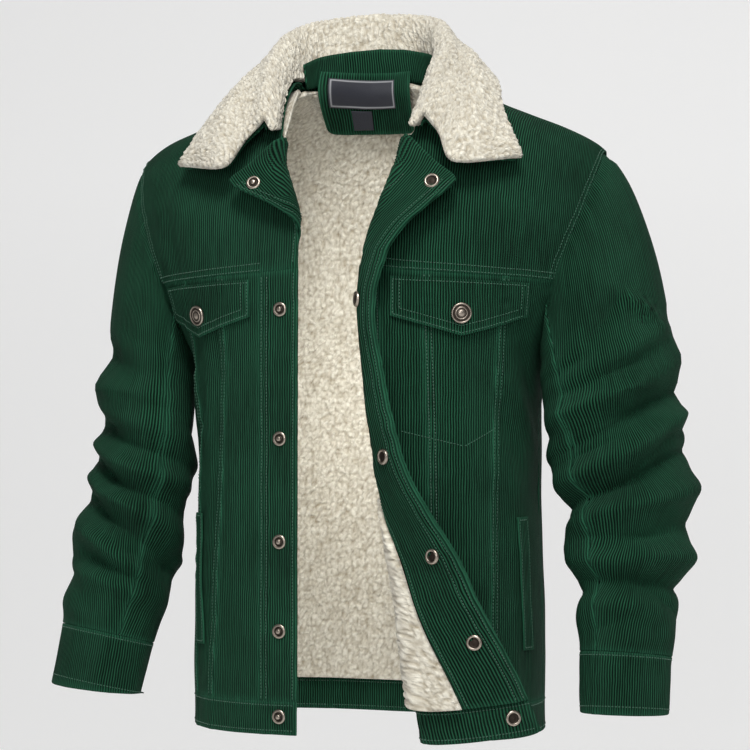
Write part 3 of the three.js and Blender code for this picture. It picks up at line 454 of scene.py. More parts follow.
FINE_FOLDS = {
    "left": [
        (-244, 84, -2, 5, 34, 0.7), (-284, 100, -2.6, 5, 40, 0.5), (-318, 96, -2.8, 5, 44, 0.4),
        (-341, 70, -2.6, 4, 40, 0.2), (-366, 96, -3, 4, 46, 0.35), (-388, 52, -2.4, 4, 36, 0.5),
        (-412, 102, -3, 4, 46, 0.2), (-436, 60, -2.6, 4, 44, 0.1), (-460, 90, -3, 4, 50, 0),
        (-484, 40, -2.2, 4, 40, -0.1), (-508, 80, -2.6, 5, 46, -0.1), (-540, 110, -2, 6, 40, 0.3),
        (-300, 150, 2.2, 7, 34, 0.4), (-352, 160, -2.2, 6, 40, 0.2), (-430, 170, -2.6, 6, 40, 0.1),
        (-480, 180, 2.4, 7, 40, -0.1), (-550, 50, 1.8, 7, 50, 0.1), (-330, 300, -2, 7, 40, 0.1),
        (-420, 320, -2.2, 6, 40, 0.1), (-390, 262, -2.2, 6, 40, 0.1), (-500, 320, -2, 6, 40, 0.1),
        (-245, -8, -5, 7, 35, 0.1), (-285, -8, 4, 14, 40, 0.1), (-324, -8, -6, 7, 40, 0.2),
        (-345, -8, 4, 9, 40, 0.2), (-366, -8, -4, 5, 35, 0.2), (-384, -8, -4, 5, 35, 0.2),
        (-414, -8, 5, 12, 40, 0.1), (-444, -8, -5, 7, 40, 0.1), (-472, -8, 5, 12, 40, 0),
        (-501, -8, -5, 7, 40, 0), (-352, 166, -4, 9, 35, 0), (-395, 166, 4, 18, 40, 0),
        (-438, 166, -5, 8, 35, 0), (-470, 166, 4, 14, 40, 0), (-510, 166, -5, 7, 35, 0),
        (-535, 166, 3, 12, 40, 0),
    ],
    "right": [
        (-236, 92, -2, 5, 34, 0.6), (-268, 96, -2.4, 5, 40, 0.4), (-300, 70, -2.4, 5, 40, 0.2),
        (-330, 100, -2.6, 4, 44, 0.25), (-358, 62, -2.8, 4, 40, 0.1), (-386, 96, -3, 4, 46, 0.2),
        (-408, 56, -2.6, 4, 40, 0.3), (-432, 96, -3, 4, 44, 0.4), (-452, 60, -2.6, 4, 40, 0.3),
        (-476, 100, -3, 4, 46, 0.4), (-498, 52, -2.6, 4, 40, 0.1), (-522, 100, -2.4, 5, 46, 0.2),
        (-300, 150, 2, 7, 34, 0.4), (-356, 168, -2.2, 6, 40, 0.2), (-420, 176, -2.6, 6, 40, 0.1),
        (-480, 190, 2.4, 7, 40, -0.1), (-548, 60, 1.8, 7, 50, 0.1), (-330, 300, -2, 7, 40, 0.1),
        (-420, 320, -2.2, 6, 40, 0.1), (-400, 256, -2.2, 6, 40, 0.1), (-500, 320, -2, 6, 40, 0.1),
        (-280, 14, -5, 9, 35, 0), (-318, 14, 4, 16, 40, 0), (-356, 14, -5, 8, 35, 0),
        (-374, 14, 4, 8, 35, 0), (-393, 14, -5, 6, 35, 0), (-413, 14, 4, 10, 35, 0),
        (-435, 14, -5, 7, 35, 0), (-472, 14, 5, 16, 40, 0), (-511, 14, -5, 8, 40, 0),
        (-536, 14, 3, 12, 40, 0),
    ],
}
print("folds on each sleeve:", {side: len(FOLDS[side]) + len(FINE_FOLDS[side]) for side in SIDES})

# %% Sleeve surface
def armhole_line(side):
    """Armhole as a closed line with its lengths: down the front edge of the shell and up its back
    edge, a degree or two inside it, so that the sleeve starts under the shell."""
    k = np.linspace(0, 2, 401)
    v = mix(RIDGE, ARMPIT + 7, 1 - abs(1 - k))
    angle = np.minimum(read(ARMHOLE, "angle", v) - 1.6, 90)
    line = body_point(SIDES[side] * np.where(k < 1, angle, 180 - angle), v)
    lengths = distances(line)
    return line, lengths / lengths[-1]


ARMHOLES = {side: armhole_line(side) for side in SIDES}


def fold_rise(side, angle, z):
    """Height of the folds: rise times the exponential of minus the squared distance across the
    fold, over its width, and of minus the squared angle from its middle, over its spread. A
    trough has a lower power across it, so it ends in a sharper crease."""
    total = np.zeros(np.broadcast(angle, z).shape)
    for rows, strength in ((FOLDS[side], 1.6), (FINE_FOLDS[side], 1.1)):
        for at_z, at_angle, rise, width, spread, fall in rows:
            away = (angle - at_angle + 540) % 360 - 180
            off = abs(z - at_z + fall * away) / width
            sharp = off**2 if rise > 0 else 0.9 * off**1.25
            total = total + strength * rise * np.exp(-sharp - (away / spread) ** 2)
    return total


def arm_ring(side, angle, z):
    """Place on an oval ring in the plane square to the arm's middle line, and the direction
    away from that line."""
    rows, sign = SLEEVES[side], SIDES[side]

    def centre(height):
        x, y = sign * read(rows, "x", -height), read(rows, "y", -height)
        return np.stack(np.broadcast_arrays(x, y, height), -1)

    def less(vectors, axis):
        return vectors - axis * (vectors * axis).sum(-1, keepdims=True)

    down = unit(centre(z - 4) - centre(z + 4))
    outward = unit(less(np.array([sign, 0.0, 0.0]) + 0 * down, down))
    ahead = unit(less(less(np.array([0.0, -1.0, 0.0]) + 0 * down, down), outward))
    turned = np.radians(angle + read(rows, "turn", -z))
    long, short = read(rows, "long", -z), read(rows, "short", -z)
    size = 1 / np.hypot(np.cos(turned) / long, np.sin(turned) / short)
    c, s = np.cos(np.radians(angle))[..., None], np.sin(np.radians(angle))[..., None]
    away = outward * c + ahead * s
    return centre(z) + away * size[..., None], away


def sleeve_point(side, angle, g):
    """Sleeve at a distance g down from the armhole. Through the cap it is a quadratic blend from
    the armhole to the first ring, pulled out and up over the shoulder. The folds are added away
    from the arm's middle line, and fade out towards the armhole."""
    angle, g = np.broadcast_arrays(np.asarray(angle, float), np.asarray(g, float))
    first, sign = -SLEEVES[side]["drop"][0], SIDES[side]
    t = np.clip(g / CAP, 0, 1)[..., None]
    line, share = ARMHOLES[side]
    at = (angle % 360) / 360
    start = np.stack([np.interp(at, share, line[:, k]) for k in range(3)], -1)
    lifted = (0.5 + 0.5 * np.cos(np.radians(angle))) ** 2
    pull = np.stack([sign * CAP_OUT[side] * lifted, 0 * lifted, CAP_UP * lifted], -1)
    end, _ = arm_ring(side, angle, np.full(g.shape, first))
    cap = start * (1 - t) ** 2 + ((start + end) / 2 + pull) * 2 * t * (1 - t) + end * t**2
    low = first - np.maximum(g - CAP, 0)
    arm, away = arm_ring(side, angle, low)
    level = np.where(g < CAP, cap[..., 2] + ((first - end[..., 2]) * t[..., 0] ** 2), low)
    rise = fold_rise(side, angle, level)[..., None] * smooth((t - 0.1) / 0.75)
    return np.where(t < 1, cap, arm) + away * rise


def girth(side, g):
    """Mean radius round the sleeve, with a little more towards the armhole."""
    drop = SLEEVES[side]["drop"][0] + np.maximum(g - CAP, 0)
    mean = np.hypot(read(SLEEVES[side], "long", drop), read(SLEEVES[side], "short", drop)) / 2**0.5
    return mean * (1 + 0.25 * np.clip(1 - g / CAP, 0, 1) ** 2)


def sleeve(side, angle, g, out):
    """Place on a sleeve, moved out along its normal, with a little unevenness."""
    square = normals(partial(sleeve_point, side), angle, np.maximum(g, 1), 1, 0.5) * SIDES[side]
    seed = 21 if side == "left" else 61
    rough = 0.6 * uneven(angle * 1.1, g, seed, 34) * smooth((g - 6) / 20)
    rough = rough - 2.6 * (1 - smooth((g - 5) / 7)) + 0.7 * pucker(g - 8, angle * 1.1, seed + 2)
    seams = sum(
        lap((angle - at) * 0.95 * way, 7) + 0.5 * pucker((angle - at) * 0.95 - way * 3, g, seed + 1)
        for at, way in ((SEAM_BACK - 360, 1), (SEAM_BACK, 1), (SEAM_FRONT, 1))
    )
    return sleeve_point(side, angle, g) + square * (out + rough + seams)[..., None]


WRIST = {side: CAP + np.ptp(SLEEVES[side]["drop"]) for side in SIDES}
print("sleeve lengths from the armhole:", {side: float(WRIST[side]) for side in SIDES})

# %% [markdown]
# ## Collar
# The collar stands up from the neckline, rolls over a crest and falls outwards in two wide leaves.
# One row of its table is one section: root, crest, middle of the leaf and outer edge. The collar
# has slipped a little to one side: drift and tilt are its shift along and its lift.

# %% Collar surface
COLLAR = table(
    "at drift tilt root_x root_y root_z crest_x crest_y crest_z leaf_x leaf_y leaf_z edge_x edge_y "
    "edge_z",
    (0, -15, 0, 0, 66, 12, 0, 92, 77, 0, 110, 36, 0, 108, -12),
    (0.16, -15, 1, 36, 62, 10, 42, 84, 73, 54, 102, 34, 60, 98, -19),
    (0.32, -13, 4, 59, 44, 6, 73, 56, 62, 91, 78, 25, 106, 84, -27),
    (0.47, -10, 5, 70, 16, 1, 83, 18, 46, 109, 24, 19, 133, 32, -17),
    (0.62, -5, 4, 73, -18, -4, 87, -16, 29, 116, -26, 4, 141, -22, -21),
    (0.77, -3, 1, 71, -50, -20, 86, -54, 6, 120, -70, -24, 152, -60, -52),
    (0.9, 0, 0, 68, -76, -42, 82, -88, -24, 124, -106, -60, 167, -88, -84),
    (1, 0, 0, 66, -92, -64, 78, -112, -52, 112, -132, -100, 171, -94, -94),
)
COLLAR_ROLL = 13.0
COLLAR_PLACES = np.array([0, 0.12, 0.25, 0.38, 0.68, 1])


def collar_point(at, w):
    """Collar section at a share `at` of the way from the back to a front end, -1 to 1, and w from
    the root over the crest to the outer edge: a cubic curve through six points."""
    at, w = np.broadcast_arrays(np.asarray(at, float), np.asarray(w, float))

    def spot(name):
        return np.stack([read(COLLAR, f"{name}_{axis}", abs(at)) for axis in "xyz"], -1)

    root, crest, leaf, edge = (spot(name) for name in ("root", "crest", "leaf", "edge"))
    side = np.where(at < 0, -1.0, 1.0)
    slip = side * read(COLLAR, "drift", abs(at))
    lifted = side * read(COLLAR, "tilt", abs(at))
    shift = np.stack([slip, 0 * slip, 0 * slip], -1)
    lift = np.stack([0 * slip, 0 * slip, lifted], -1)
    crest, leaf, edge = crest + shift, leaf + shift + lift, edge + shift + lift
    away = unit((edge - root) * [1, 1, 0]) * COLLAR_ROLL
    down = np.array([0, 0, -COLLAR_ROLL])
    knots = np.stack([root, crest - away + down, crest, crest + away + down, leaf, edge], 0)
    return curve(COLLAR_PLACES, knots, w) * np.stack([side, 0 * at + 1, 0 * at + 1], -1)


def collar(at, w, out):
    """Place on the collar, moved out along its normal."""
    square = normals(collar_point, np.clip(at, -0.99, 0.99), np.clip(w, 0.01, 0.99), 0.01, 0.01)
    return collar_point(at, w) + square * np.asarray(out)[..., None]


tip = collar_point(np.array([1.0]), np.array([1.0]))[0]
print("collar tip in millimetres:", tip.round(1))

# %% [markdown]
# ## Walls of cloth
# Every piece of cloth is a closed wall. Its good side is a fine grid, its hidden side is a coarser
# one, and a rim of triangles joins them, so the mesh is closed without wasting faces where nobody
# looks. The edges are rounded by bringing both sides together there.

# %% Mesh helpers
def border(rows, columns):
    """Indices of a grid's border, once round it."""
    grid = np.arange(rows * columns).reshape(rows, columns)
    return np.concatenate([grid[0, :-1], grid[:-1, -1], grid[-1, :0:-1], grid[:0:-1, 0]])


def quads(rows, columns, start=0):
    """Faces of a grid of points, each from four neighbours."""
    grid = start + np.arange(rows * columns).reshape(rows, columns)
    corners = [grid[:-1, :-1], grid[:-1, 1:], grid[1:, 1:], grid[1:, :-1]]
    return np.stack(corners, -1).reshape(-1, 4)


def triangles(faces):
    """Two triangles for every quad."""
    return np.concatenate([faces[:, [0, 1, 2]], faces[:, [0, 2, 3]]])


def make_mesh(name, points, faces, material, uv=None, **values):
    """Object with a mesh in metres, its pattern coordinates and its values at every point."""
    mesh = bpy.data.meshes.new(name)
    mesh.from_pydata(points * MM, [], faces)
    mesh.polygons.foreach_set("use_smooth", np.ones(len(mesh.polygons), bool))
    if uv is not None:
        corner = np.zeros(len(mesh.loops), np.int32)
        mesh.loops.foreach_get("vertex_index", corner)
        layer = mesh.uv_layers.new(name="grain")
        layer.data.foreach_set("uv", (uv[corner] * MM).ravel())
    for key, value in values.items():
        attribute = mesh.attributes.new(key, "FLOAT", "POINT")
        attribute.data.foreach_set("value", np.asarray(value, np.float32))
    mesh.materials.append(material)
    piece = bpy.data.objects.new(name, mesh)
    bpy.context.scene.collection.objects.link(piece)
    return piece


def wall(name, face, hidden, uv, material, **values):
    """Closed wall from two grids of points. The hidden one has every k-th row and column of the
    other, and k rim triangles meet each of its border points. A wall whose faces point inwards
    has a negative volume and is turned round."""
    rows, columns = face.shape[:2]
    few_rows, few_columns = hidden.shape[:2]
    k = (rows - 1) // (few_rows - 1)
    total = rows * columns
    points = np.concatenate([face.reshape(-1, 3), hidden.reshape(-1, 3)])
    front_faces = triangles(quads(rows, columns))
    back_faces = triangles(quads(few_rows, few_columns, total))[:, ::-1]
    fine, rough = border(rows, columns), total + border(few_rows, few_columns)
    here = np.arange(len(fine))
    near = rough[here // k]
    rim = np.stack([np.roll(fine, -1), fine, near], -1)
    last = fine[(np.arange(len(rough)) * k + k) % len(fine)]
    rim_far = np.stack([last, rough, np.roll(rough, -1)], -1)
    faces = np.concatenate([front_faces, back_faces, rim, rim_far])
    a, b, c = (points[faces[:, j]] for j in range(3))
    if (a * np.cross(b, c)).sum() < 0:
        faces = faces[:, ::-1]
    pattern = np.concatenate([uv.reshape(-1, 2), uv[::k, ::k].reshape(-1, 2)])
    both = {
        key: np.concatenate([value.reshape(-1), value[::k, ::k].reshape(-1)])
        for key, value in values.items()
    }
    return make_mesh(name, points, faces, material, pattern, **both)


def places(length, step, multiple=1, lip=0.8):
    """Shares of a length, evenly spaced but for one short step at either end, where the edge is
    rounded. Their number of steps is a multiple of the hidden side's."""
    count = max(int(np.ceil(length / step / multiple)) * multiple, multiple * 2)
    inner = np.linspace(lip / length, 1 - lip / length, count - 1)
    return np.concatenate([[0], inner, [1]])


def edge_mask(rows, columns):
    """1 on the border of a grid and 0 inside."""
    mask = np.zeros((rows, columns))
    mask[[0, -1], :] = 1
    mask[:, [0, -1]] = 1
    return mask


print("a grid of 4 by 5 points:", len(quads(4, 5)), "quads,", len(border(4, 5)), "on its border")

# %% [markdown]
# ## Corduroy
# Corduroy is a pile cloth: rows of short cut pile, called wales, stand on a plain weave. Here the
# wales are 2.5 mm apart. The pile glows softly at grazing angles. The shade in the grooves between
# the wales and the light on their tops are painted into the colour, so the effect needs both a
# height for the bump and a mask for that painted shade and light. It is a node group, so a cloth
# with another pitch or other colours could use it with its own values.

# %% Node helpers
def fill(tree, sockets, values):
    """Links every socket that is given, and sets every plain number or colour."""
    for key, value in values.items():
        if isinstance(value, bpy.types.NodeSocket):
            tree.links.new(value, sockets[key])
        else:
            sockets[key].default_value = value


def add_node(tree, kind, inputs=None, **settings):
    """New node with its settings, and its inputs linked or set by name or number."""
    node = tree.nodes.new(kind)
    for key, value in settings.items():
        setattr(node, key, value)
    fill(tree, node.inputs, inputs or {})
    return node


def calculate(tree, operation, *values, clamp=False):
    """Result of one calculation on numbers or sockets."""
    inputs = dict(enumerate(values))
    return add_node(tree, "ShaderNodeMath", inputs, operation=operation, use_clamp=clamp).outputs[0]


def noise(tree, place, scale, detail=2.0, **more):
    """Soft noise at a place."""
    inputs = {"Vector": place, "Scale": scale, "Detail": detail, **more}
    return add_node(tree, "ShaderNodeTexNoise", inputs)


def blend_colours(tree, share, first, second):
    """Colour part of the way from the first to the second."""
    inputs = {"Factor": share, 6: first, 7: second}
    return add_node(tree, "ShaderNodeMix", inputs, data_type="RGBA").outputs[2]


def new_group(name, inputs, outputs):
    """Node group with named number or vector sockets, and its input and output nodes."""
    group = bpy.data.node_groups.new(name, "ShaderNodeTree")
    for label, kind, value in inputs:
        socket = group.interface.new_socket(label, in_out="INPUT", socket_type=kind)
        if value is not None:
            socket.default_value = value
    for label in outputs:
        group.interface.new_socket(label, in_out="OUTPUT", socket_type="NodeSocketFloat")
    return group, group.nodes.new("NodeGroupInput"), group.nodes.new("NodeGroupOutput")


# %% Wales as a node group
wales, wales_in, wales_out = new_group(
    "corduroy_wales",
    [("Place", "NodeSocketVector", None), ("Pitch", "NodeSocketFloat", 0.0025)],
    ["Height", "Top", "Nap", "Streak"],
)
place_in = wales_in.outputs["Place"]
split = add_node(wales, "ShaderNodeSeparateXYZ", {0: place_in})
turns = calculate(wales, "DIVIDE", split.outputs[0], wales_in.outputs["Pitch"])
wander = noise(wales, place_in, 60.0, 1.0).outputs[0]
turns = calculate(wales, "ADD", turns, calculate(wales, "MULTIPLY", wander, 0.7))
part = calculate(wales, "SUBTRACT", calculate(wales, "FRACT", turns), 0.5)
steep = calculate(wales, "ABSOLUTE", calculate(wales, "MULTIPLY", part, 2))
round_wale = calculate(wales, "SUBTRACT", 1, calculate(wales, "POWER", steep, 2.2))
nap = noise(wales, place_in, 1500.0, 3.0, Roughness=0.7).outputs[0]
stretched = add_node(wales, "ShaderNodeMapping", {"Vector": place_in, "Scale": (420.0, 38.0, 1.0)})
fill(wales, wales_out.inputs, {
    "Height": calculate(wales, "ADD", round_wale, calculate(wales, "MULTIPLY", nap, 0.35)),
    # This mask is 1 on the narrow top of each wale and 0 in the grooves: painted light on the tops,
    # painted shade in the grooves.
    "Top": calculate(wales, "POWER", round_wale, 4.0),
    "Nap": nap,
    "Streak": noise(wales, stretched.outputs[0], 1.0, 3.0).outputs[0],
})
print("group:", wales.name, "with", len(wales.nodes), "nodes")

# %% [markdown]
# The shell is made from the group. Along seams and edges the pile is painted paler: partly wear,
# where the wales are brushed or pressed, and partly painted highlight on the puckers there. That
# place comes from a value stored on the mesh, which holds the wear and the painted highlight
# together.

# %% Corduroy material
def new_material(name):
    """Empty node material, its tree and its shader."""
    material = bpy.data.materials.new(name)
    material.use_nodes = True
    tree = material.node_tree
    return material, tree, tree.nodes["Principled BSDF"]


def set_shader(tree, shader, **values):
    """Values on the shader's own sockets, and links to them."""
    names = {key: key.replace("_", " ").title().replace("Ior", "IOR") for key in values}
    fill(tree, shader.inputs, {names[key]: value for key, value in values.items()})


def bump(tree, height, distance):
    """Bump whose full height is a distance in metres."""
    return add_node(tree, "ShaderNodeBump", {"Height": height, "Distance": distance}).outputs[0]


def grain_place(tree):
    """Place in the pattern coordinates, which follow the cloth."""
    return add_node(tree, "ShaderNodeUVMap", uv_map="grain").outputs[0]


def object_place(tree):
    """Place in the piece's own coordinates."""
    return add_node(tree, "ShaderNodeTexCoord").outputs["Object"]


def stored_value(tree, name):
    """Value stored at the points of the mesh."""
    return add_node(tree, "ShaderNodeAttribute", attribute_name=name).outputs["Fac"]


def corduroy_material(name, pitch, dark, light, worn):
    """Ribbed cloth: painted shade in the grooves, painted light on the wale tops, streaks along
    them, and paler edges and seams, partly wear and partly painted highlight.
    """
    material, tree, shader = new_material(name)
    inputs = {"Place": grain_place(tree), "Pitch": pitch}
    ribs = add_node(tree, "ShaderNodeGroup", inputs, node_tree=wales).outputs
    patches = noise(tree, object_place(tree), 16.0, 4.0).outputs[0]
    mottle = calculate(tree, "MULTIPLY", calculate(tree, "ADD", ribs["Streak"], patches), 1.1)
    mottle = calculate(tree, "SUBTRACT", mottle, 0.25)
    # Painted light on the wale tops against painted shade in the grooves, varied by the streaks and
    # patches.
    share = calculate(tree, "MULTIPLY", ribs["Top"], mottle, clamp=True)
    # Paler along edges and seams: partly wear and partly painted highlight on the puckers.
    rubbed_and_lit = calculate(tree, "MULTIPLY", stored_value(tree, "worn"), ribs["Streak"], clamp=True)
    set_shader(
        tree, shader,
        base_color=blend_colours(tree, rubbed_and_lit, blend_colours(tree, share, dark, light), worn),
        roughness=calculate(tree, "ADD", calculate(tree, "MULTIPLY", ribs["Nap"], 0.2), 0.72),
        normal=bump(tree, ribs["Height"], 0.0016),
        sheen_weight=0.06, sheen_roughness=0.4, sheen_tint=(0.25, 0.62, 0.42, 1),
        specular_ior_level=0.06,
    )
    return material


# The colours are the painted shade in the grooves, the painted light on the wale tops, and the
# paler edges and seams, partly wear and partly painted highlight.
corduroy = corduroy_material(
    "green_corduroy", 0.0025, (0.0005, 0.0030, 0.0014, 1), (0.0155, 0.086, 0.044, 1),
    (0.022, 0.11, 0.06, 1),
)
print("material:", corduroy.name)

# %% [markdown]
# ## Thread
# The seams are sewn twice with thread a shade paler than the cloth. A fine mottle and a slight
# bump stand for its twist.

# %% Thread material
thread, tree, shader = new_material("green_thread")
twist = noise(tree, object_place(tree), 1400.0).outputs[0]
set_shader(
    tree, shader, roughness=0.6, sheen_weight=0.2, normal=bump(tree, twist, 0.0002),
    base_color=blend_colours(tree, twist, (0.006, 0.05, 0.026, 1), (0.02, 0.12, 0.066, 1)),
)
print("material:", thread.name)

# %% [markdown]
# ## Curly pile
# Sherpa pile is knitted in small curls that clump into nubs six or seven millimetres wide. The
# nubs are real shape here. The finer curls inside them are a bump, made from cells and fibres that
# a noise pushes about. The deep places between the nubs and curls get painted shade, a warmer,
# darker cream.

# %% Pile material
pile, tree, shader = new_material("cream_pile")
place = grain_place(tree)
push = noise(tree, place, 160.0).outputs["Color"]
push = add_node(
    tree, "ShaderNodeVectorMath", {0: push, 1: (0.007, 0.007, 0.0)}, operation="MULTIPLY"
).outputs[0]
pushed = add_node(tree, "ShaderNodeVectorMath", {0: place, 1: push}, operation="ADD").outputs[0]
small_curls = add_node(
    tree, "ShaderNodeTexVoronoi", {"Vector": pushed, "Scale": 270.0}, feature="SMOOTH_F1"
).outputs["Distance"]
fibres = noise(tree, pushed, 1100.0, 3.0, Distortion=1.6).outputs[0]
curl_height = calculate(tree, "SUBTRACT", calculate(tree, "MULTIPLY", fibres, 0.5), small_curls)
# Painted shade: the colour runs from a dark cream in the gaps between the nubs and curls to pale
# cream on their tops.
nub_shading = calculate(tree, "MULTIPLY", stored_value(tree, "curl"), 0.8)
share = calculate(tree, "ADD", nub_shading, calculate(tree, "ADD", curl_height, 0.33), clamp=True)
set_shader(
    tree, shader, roughness=0.95, sheen_weight=0.4, sheen_roughness=0.5, specular_ior_level=0.1,
    base_color=blend_colours(tree, share, (0.34, 0.28, 0.185, 1), (0.87, 0.83, 0.71, 1)),
    normal=bump(tree, curl_height, 0.0024),
)
print("material:", pile.name)

# %% Metal and label materials
metal, tree, shader = new_material("antique_metal")
tarnish = noise(tree, object_place(tree), 500.0, 4.0).outputs[0]
dim = calculate(tree, "MULTIPLY", tarnish, 0.4)
# deep paints shade into the hollows of the snaps and buttons; the tarnish noise is the metal's own
# uneven tone.
share = calculate(tree, "ADD", stored_value(tree, "deep"), dim, clamp=True)
set_shader(
    tree, shader, metallic=1.0, normal=bump(tree, tarnish, 0.0001),
    base_color=blend_colours(tree, share, (0.44, 0.38, 0.32, 1), (0.04, 0.032, 0.026, 1)),
    roughness=calculate(tree, "ADD", calculate(tree, "MULTIPLY", share, 0.35), 0.25),
)

label, tree, shader = new_material("woven_tape")
weave = add_node(
    tree, "ShaderNodeTexWave", {"Vector": grain_place(tree), "Scale": 600.0, "Distortion": 0.4},
    bands_direction="DIAGONAL",
).outputs["Fac"]
tape = blend_colours(tree, weave, (0.008, 0.009, 0.016, 1), (0.02, 0.023, 0.036, 1))
set_shader(
    tree, shader, roughness=0.55, sheen_weight=0.1, normal=bump(tree, weave, 0.0002),
    base_color=blend_colours(tree, stored_value(tree, "line"), tape, (0.42, 0.43, 0.45, 1)),
)
print("materials:", metal.name, label.name)

# %% [markdown]
# ## Body panels
# Each panel is cut from the surfaces above. A row of the table names its seams: where it starts
# and ends across the body and up it. The wales run upright on the panels and along the free edge
# on the plackets and facings, as a tailor lays them.

# %% Panel maker
SHELL, BAND_LAYERS = (0.0, -2.0), (0.0, -3.6)
FACED, LINED = (-6.8, -4.8), (-14.0, -7.0)
STEP, SEAM_OVER, PLACKET, FACING_TOP = 3.2, 0.25, 38.0, 138.0


def worn_value(distance, reach=3.0):
    """How much paler the cloth is painted at a distance from an edge or a seam: partly wear and
    partly painted highlight.
    """
    return np.exp(-((distance / reach) ** 2))


def cut_grid(inner, outer, low, high, step, multiple=2, over=0.0, dip=None):
    """Grid of places between two curves across the body and two heights, a little over each edge.
    `dip` shrinks the heights above the yoke under a curved top, as a share of the way across."""
    ends = np.array([low, high])
    width = max(float(np.max(outer(ends) - inner(ends))), 8.0)
    c = places(width, step, multiple)[None, :]
    level = (low - over + (high - low + 2 * over) * places(high - low, step, multiple))[:, None]
    v = level if dip is None else np.where(level > YOKE, YOKE + (level - YOKE) * dip(c), level)
    v = v + 0 * c
    return mix(inner(v) - over, outer(v) + over, c), v


def panel(name, place, inner, outer, low, high, layers=SHELL, grain=None, step=STEP, dip=None):
    """Closed wall of corduroy between two curves and two heights, a quarter of a millimetre over
    each seam. Its wales run upright, or along a curve that is given as its grain."""
    u, v = cut_grid(inner, outer, low, high, step, 2, SEAM_OVER, dip)
    thick = layers[1] - layers[0]
    inwards = np.sign(thick) * edge_mask(*u.shape) * min(0.6, 0.3 * abs(thick))
    face = place(u, v, layers[0] + inwards)
    hidden = place(u[::2, ::2], v[::2, ::2], layers[1] - inwards[::2, ::2])
    uv = np.stack([u if grain is None else u - grain(v), v], -1)
    rim = least(u - u[:, :1], u[:, -1:] - u, v - low, high - v)
    # The edge value paints the cloth paler along its seams and edges, partly wear and partly
    # painted highlight.
    return wall(name, face, hidden, uv, corduroy, worn=worn_value(rim) * 0.8)


def declare(piece, node, held="hung", rests_on=("lining_back",), cut=None, **more):
    """Attaches a cloth piece to the root and hides the node that it stands for. Its flat cut in
    metres is not used, and its slot is taken out of the rest and dropped. The pattern coordinates
    of its triangles, which cover both sides of the cloth, are read but not used."""
    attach(piece, "root")
    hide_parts(node)
    more.pop("slot", "corduroy")
    pattern = np.zeros(2 * len(piece.data.loops))
    piece.data.uv_layers["grain"].data.foreach_get("uv", pattern)
    return piece


def flat_cut(inner, outer, low, high):
    """Width and length of the smallest rectangle that a panel is cut from, in metres."""
    v = np.linspace(low, high, 40)
    across = outer(v).max() - inner(v).min()
    return float(across) * MM, float(high - low) * MM


# %% Front panels
def placket_seam(side, v):
    """Seam between the placket and the centre panel."""
    return edge_of(side, v) + PLACKET


for side in SIDES:
    free, placket = partial(edge_of, side), partial(placket_seam, side)
    inner_seam, outer_seam = partial(seam_of, side, "inner"), partial(seam_of, side, "outer")
    cuts = [
        ("placket", free, placket, BAND, YOKE, SHELL, free, 2.6),
        ("front_centre", placket, inner_seam, BAND, YOKE, SHELL, None, STEP),
        ("front_middle", inner_seam, outer_seam, BAND, YOKE, SHELL, None, STEP),
        ("front_side", outer_seam, side_limit, BAND, YOKE, SHELL, None, STEP),
        ("front_yoke", free, side_limit, YOKE, RIDGE, SHELL, None, 2.8),
        ("hem_front", free, side_limit, HEM, BAND, BAND_LAYERS, None, 2.8),
    ]
    for name, *edges, layers, grain, step in cuts:
        piece = panel(f"{name}_{side}_cloth", partial(front, side), *edges, layers, grain, step)
        declare(piece, f"{name}_{side}", cut=flat_cut(*edges))
    print("front panels:", side, [name for name, *_ in cuts])

# %% Back panels
def mirrored(line):
    """The same line on the other side of the centre back."""
    return lambda v: -line(v)


NECK_HALF, NECK_LOW = 76, 188


def back_neckline(c):
    """Share of the height above the yoke that the back reaches under the neckline, a half ellipse
    76 mm wide on either side of the centre, whose lowest place is 188 mm over the chest."""
    x = (2 * c - 1) * side_limit(RIDGE) / NECK_HALF
    top = RIDGE - (RIDGE - NECK_LOW) * np.sqrt(np.maximum(1 - x * x, 0))
    return (top - YOKE) / (RIDGE - YOKE)


back_cuts = [
    ("back_centre", mirrored(back_seam), back_seam, BAND, YOKE, SHELL, None),
    ("back_side_left", back_seam, side_limit, BAND, YOKE, SHELL, None),
    ("back_side_right", mirrored(side_limit), mirrored(back_seam), BAND, YOKE, SHELL, None),
    ("back_yoke", mirrored(side_limit), side_limit, YOKE, RIDGE, SHELL, back_neckline),
    ("hem_back", mirrored(side_limit), side_limit, HEM, BAND, BAND_LAYERS, None),
]
for name, *edges, layers, dip in back_cuts:
    piece = panel(f"{name}_cloth", back, *edges, layers, None, 3.6, dip)
    declare(piece, name, cut=flat_cut(*edges))
print("back panels:", [name for name, *_ in back_cuts])

# %% [markdown]
# ## Facings
# Behind each placket runs a strip of the same corduroy, the facing. It is sewn to the shell along
# the free edge, so there the two cloths meet, and it stands off towards its inner edge.

# %% Facings
def facing_inner(side, v):
    """Inner edge of a facing: widest in the lapel, and close to the free edge where the neckline
    meets the collar."""
    return edge_of(side, v) + read(FACING, "width", v)


def faced(side, u, v, out):
    """Place on a front for its facing, which comes 2.5 mm nearer the shell at the free edge."""
    together = 1 - smooth((u - edge_of(side, v)) / 9)
    return front(side, u, v, out + 2.5 * together)


for side in SIDES:
    piece = panel(
        f"facing_{side}_cloth", partial(faced, side), partial(edge_of, side),
        partial(facing_inner, side), BAND, FACING_TOP, FACED,
        lambda v: edge_of(side, np.minimum(v, 70)), 2.6,
    )
    declare(piece, f"facing_{side}", held="stretched", cut=(0.066, 0.515))
print("facings done")

# %% [markdown]
# ## Flaps and welts
# Each chest pocket has a pointed flap that hangs from the yoke seam and stands a little off the
# cloth at its tip. The hand pockets are slanted slits, each with a narrow welt.

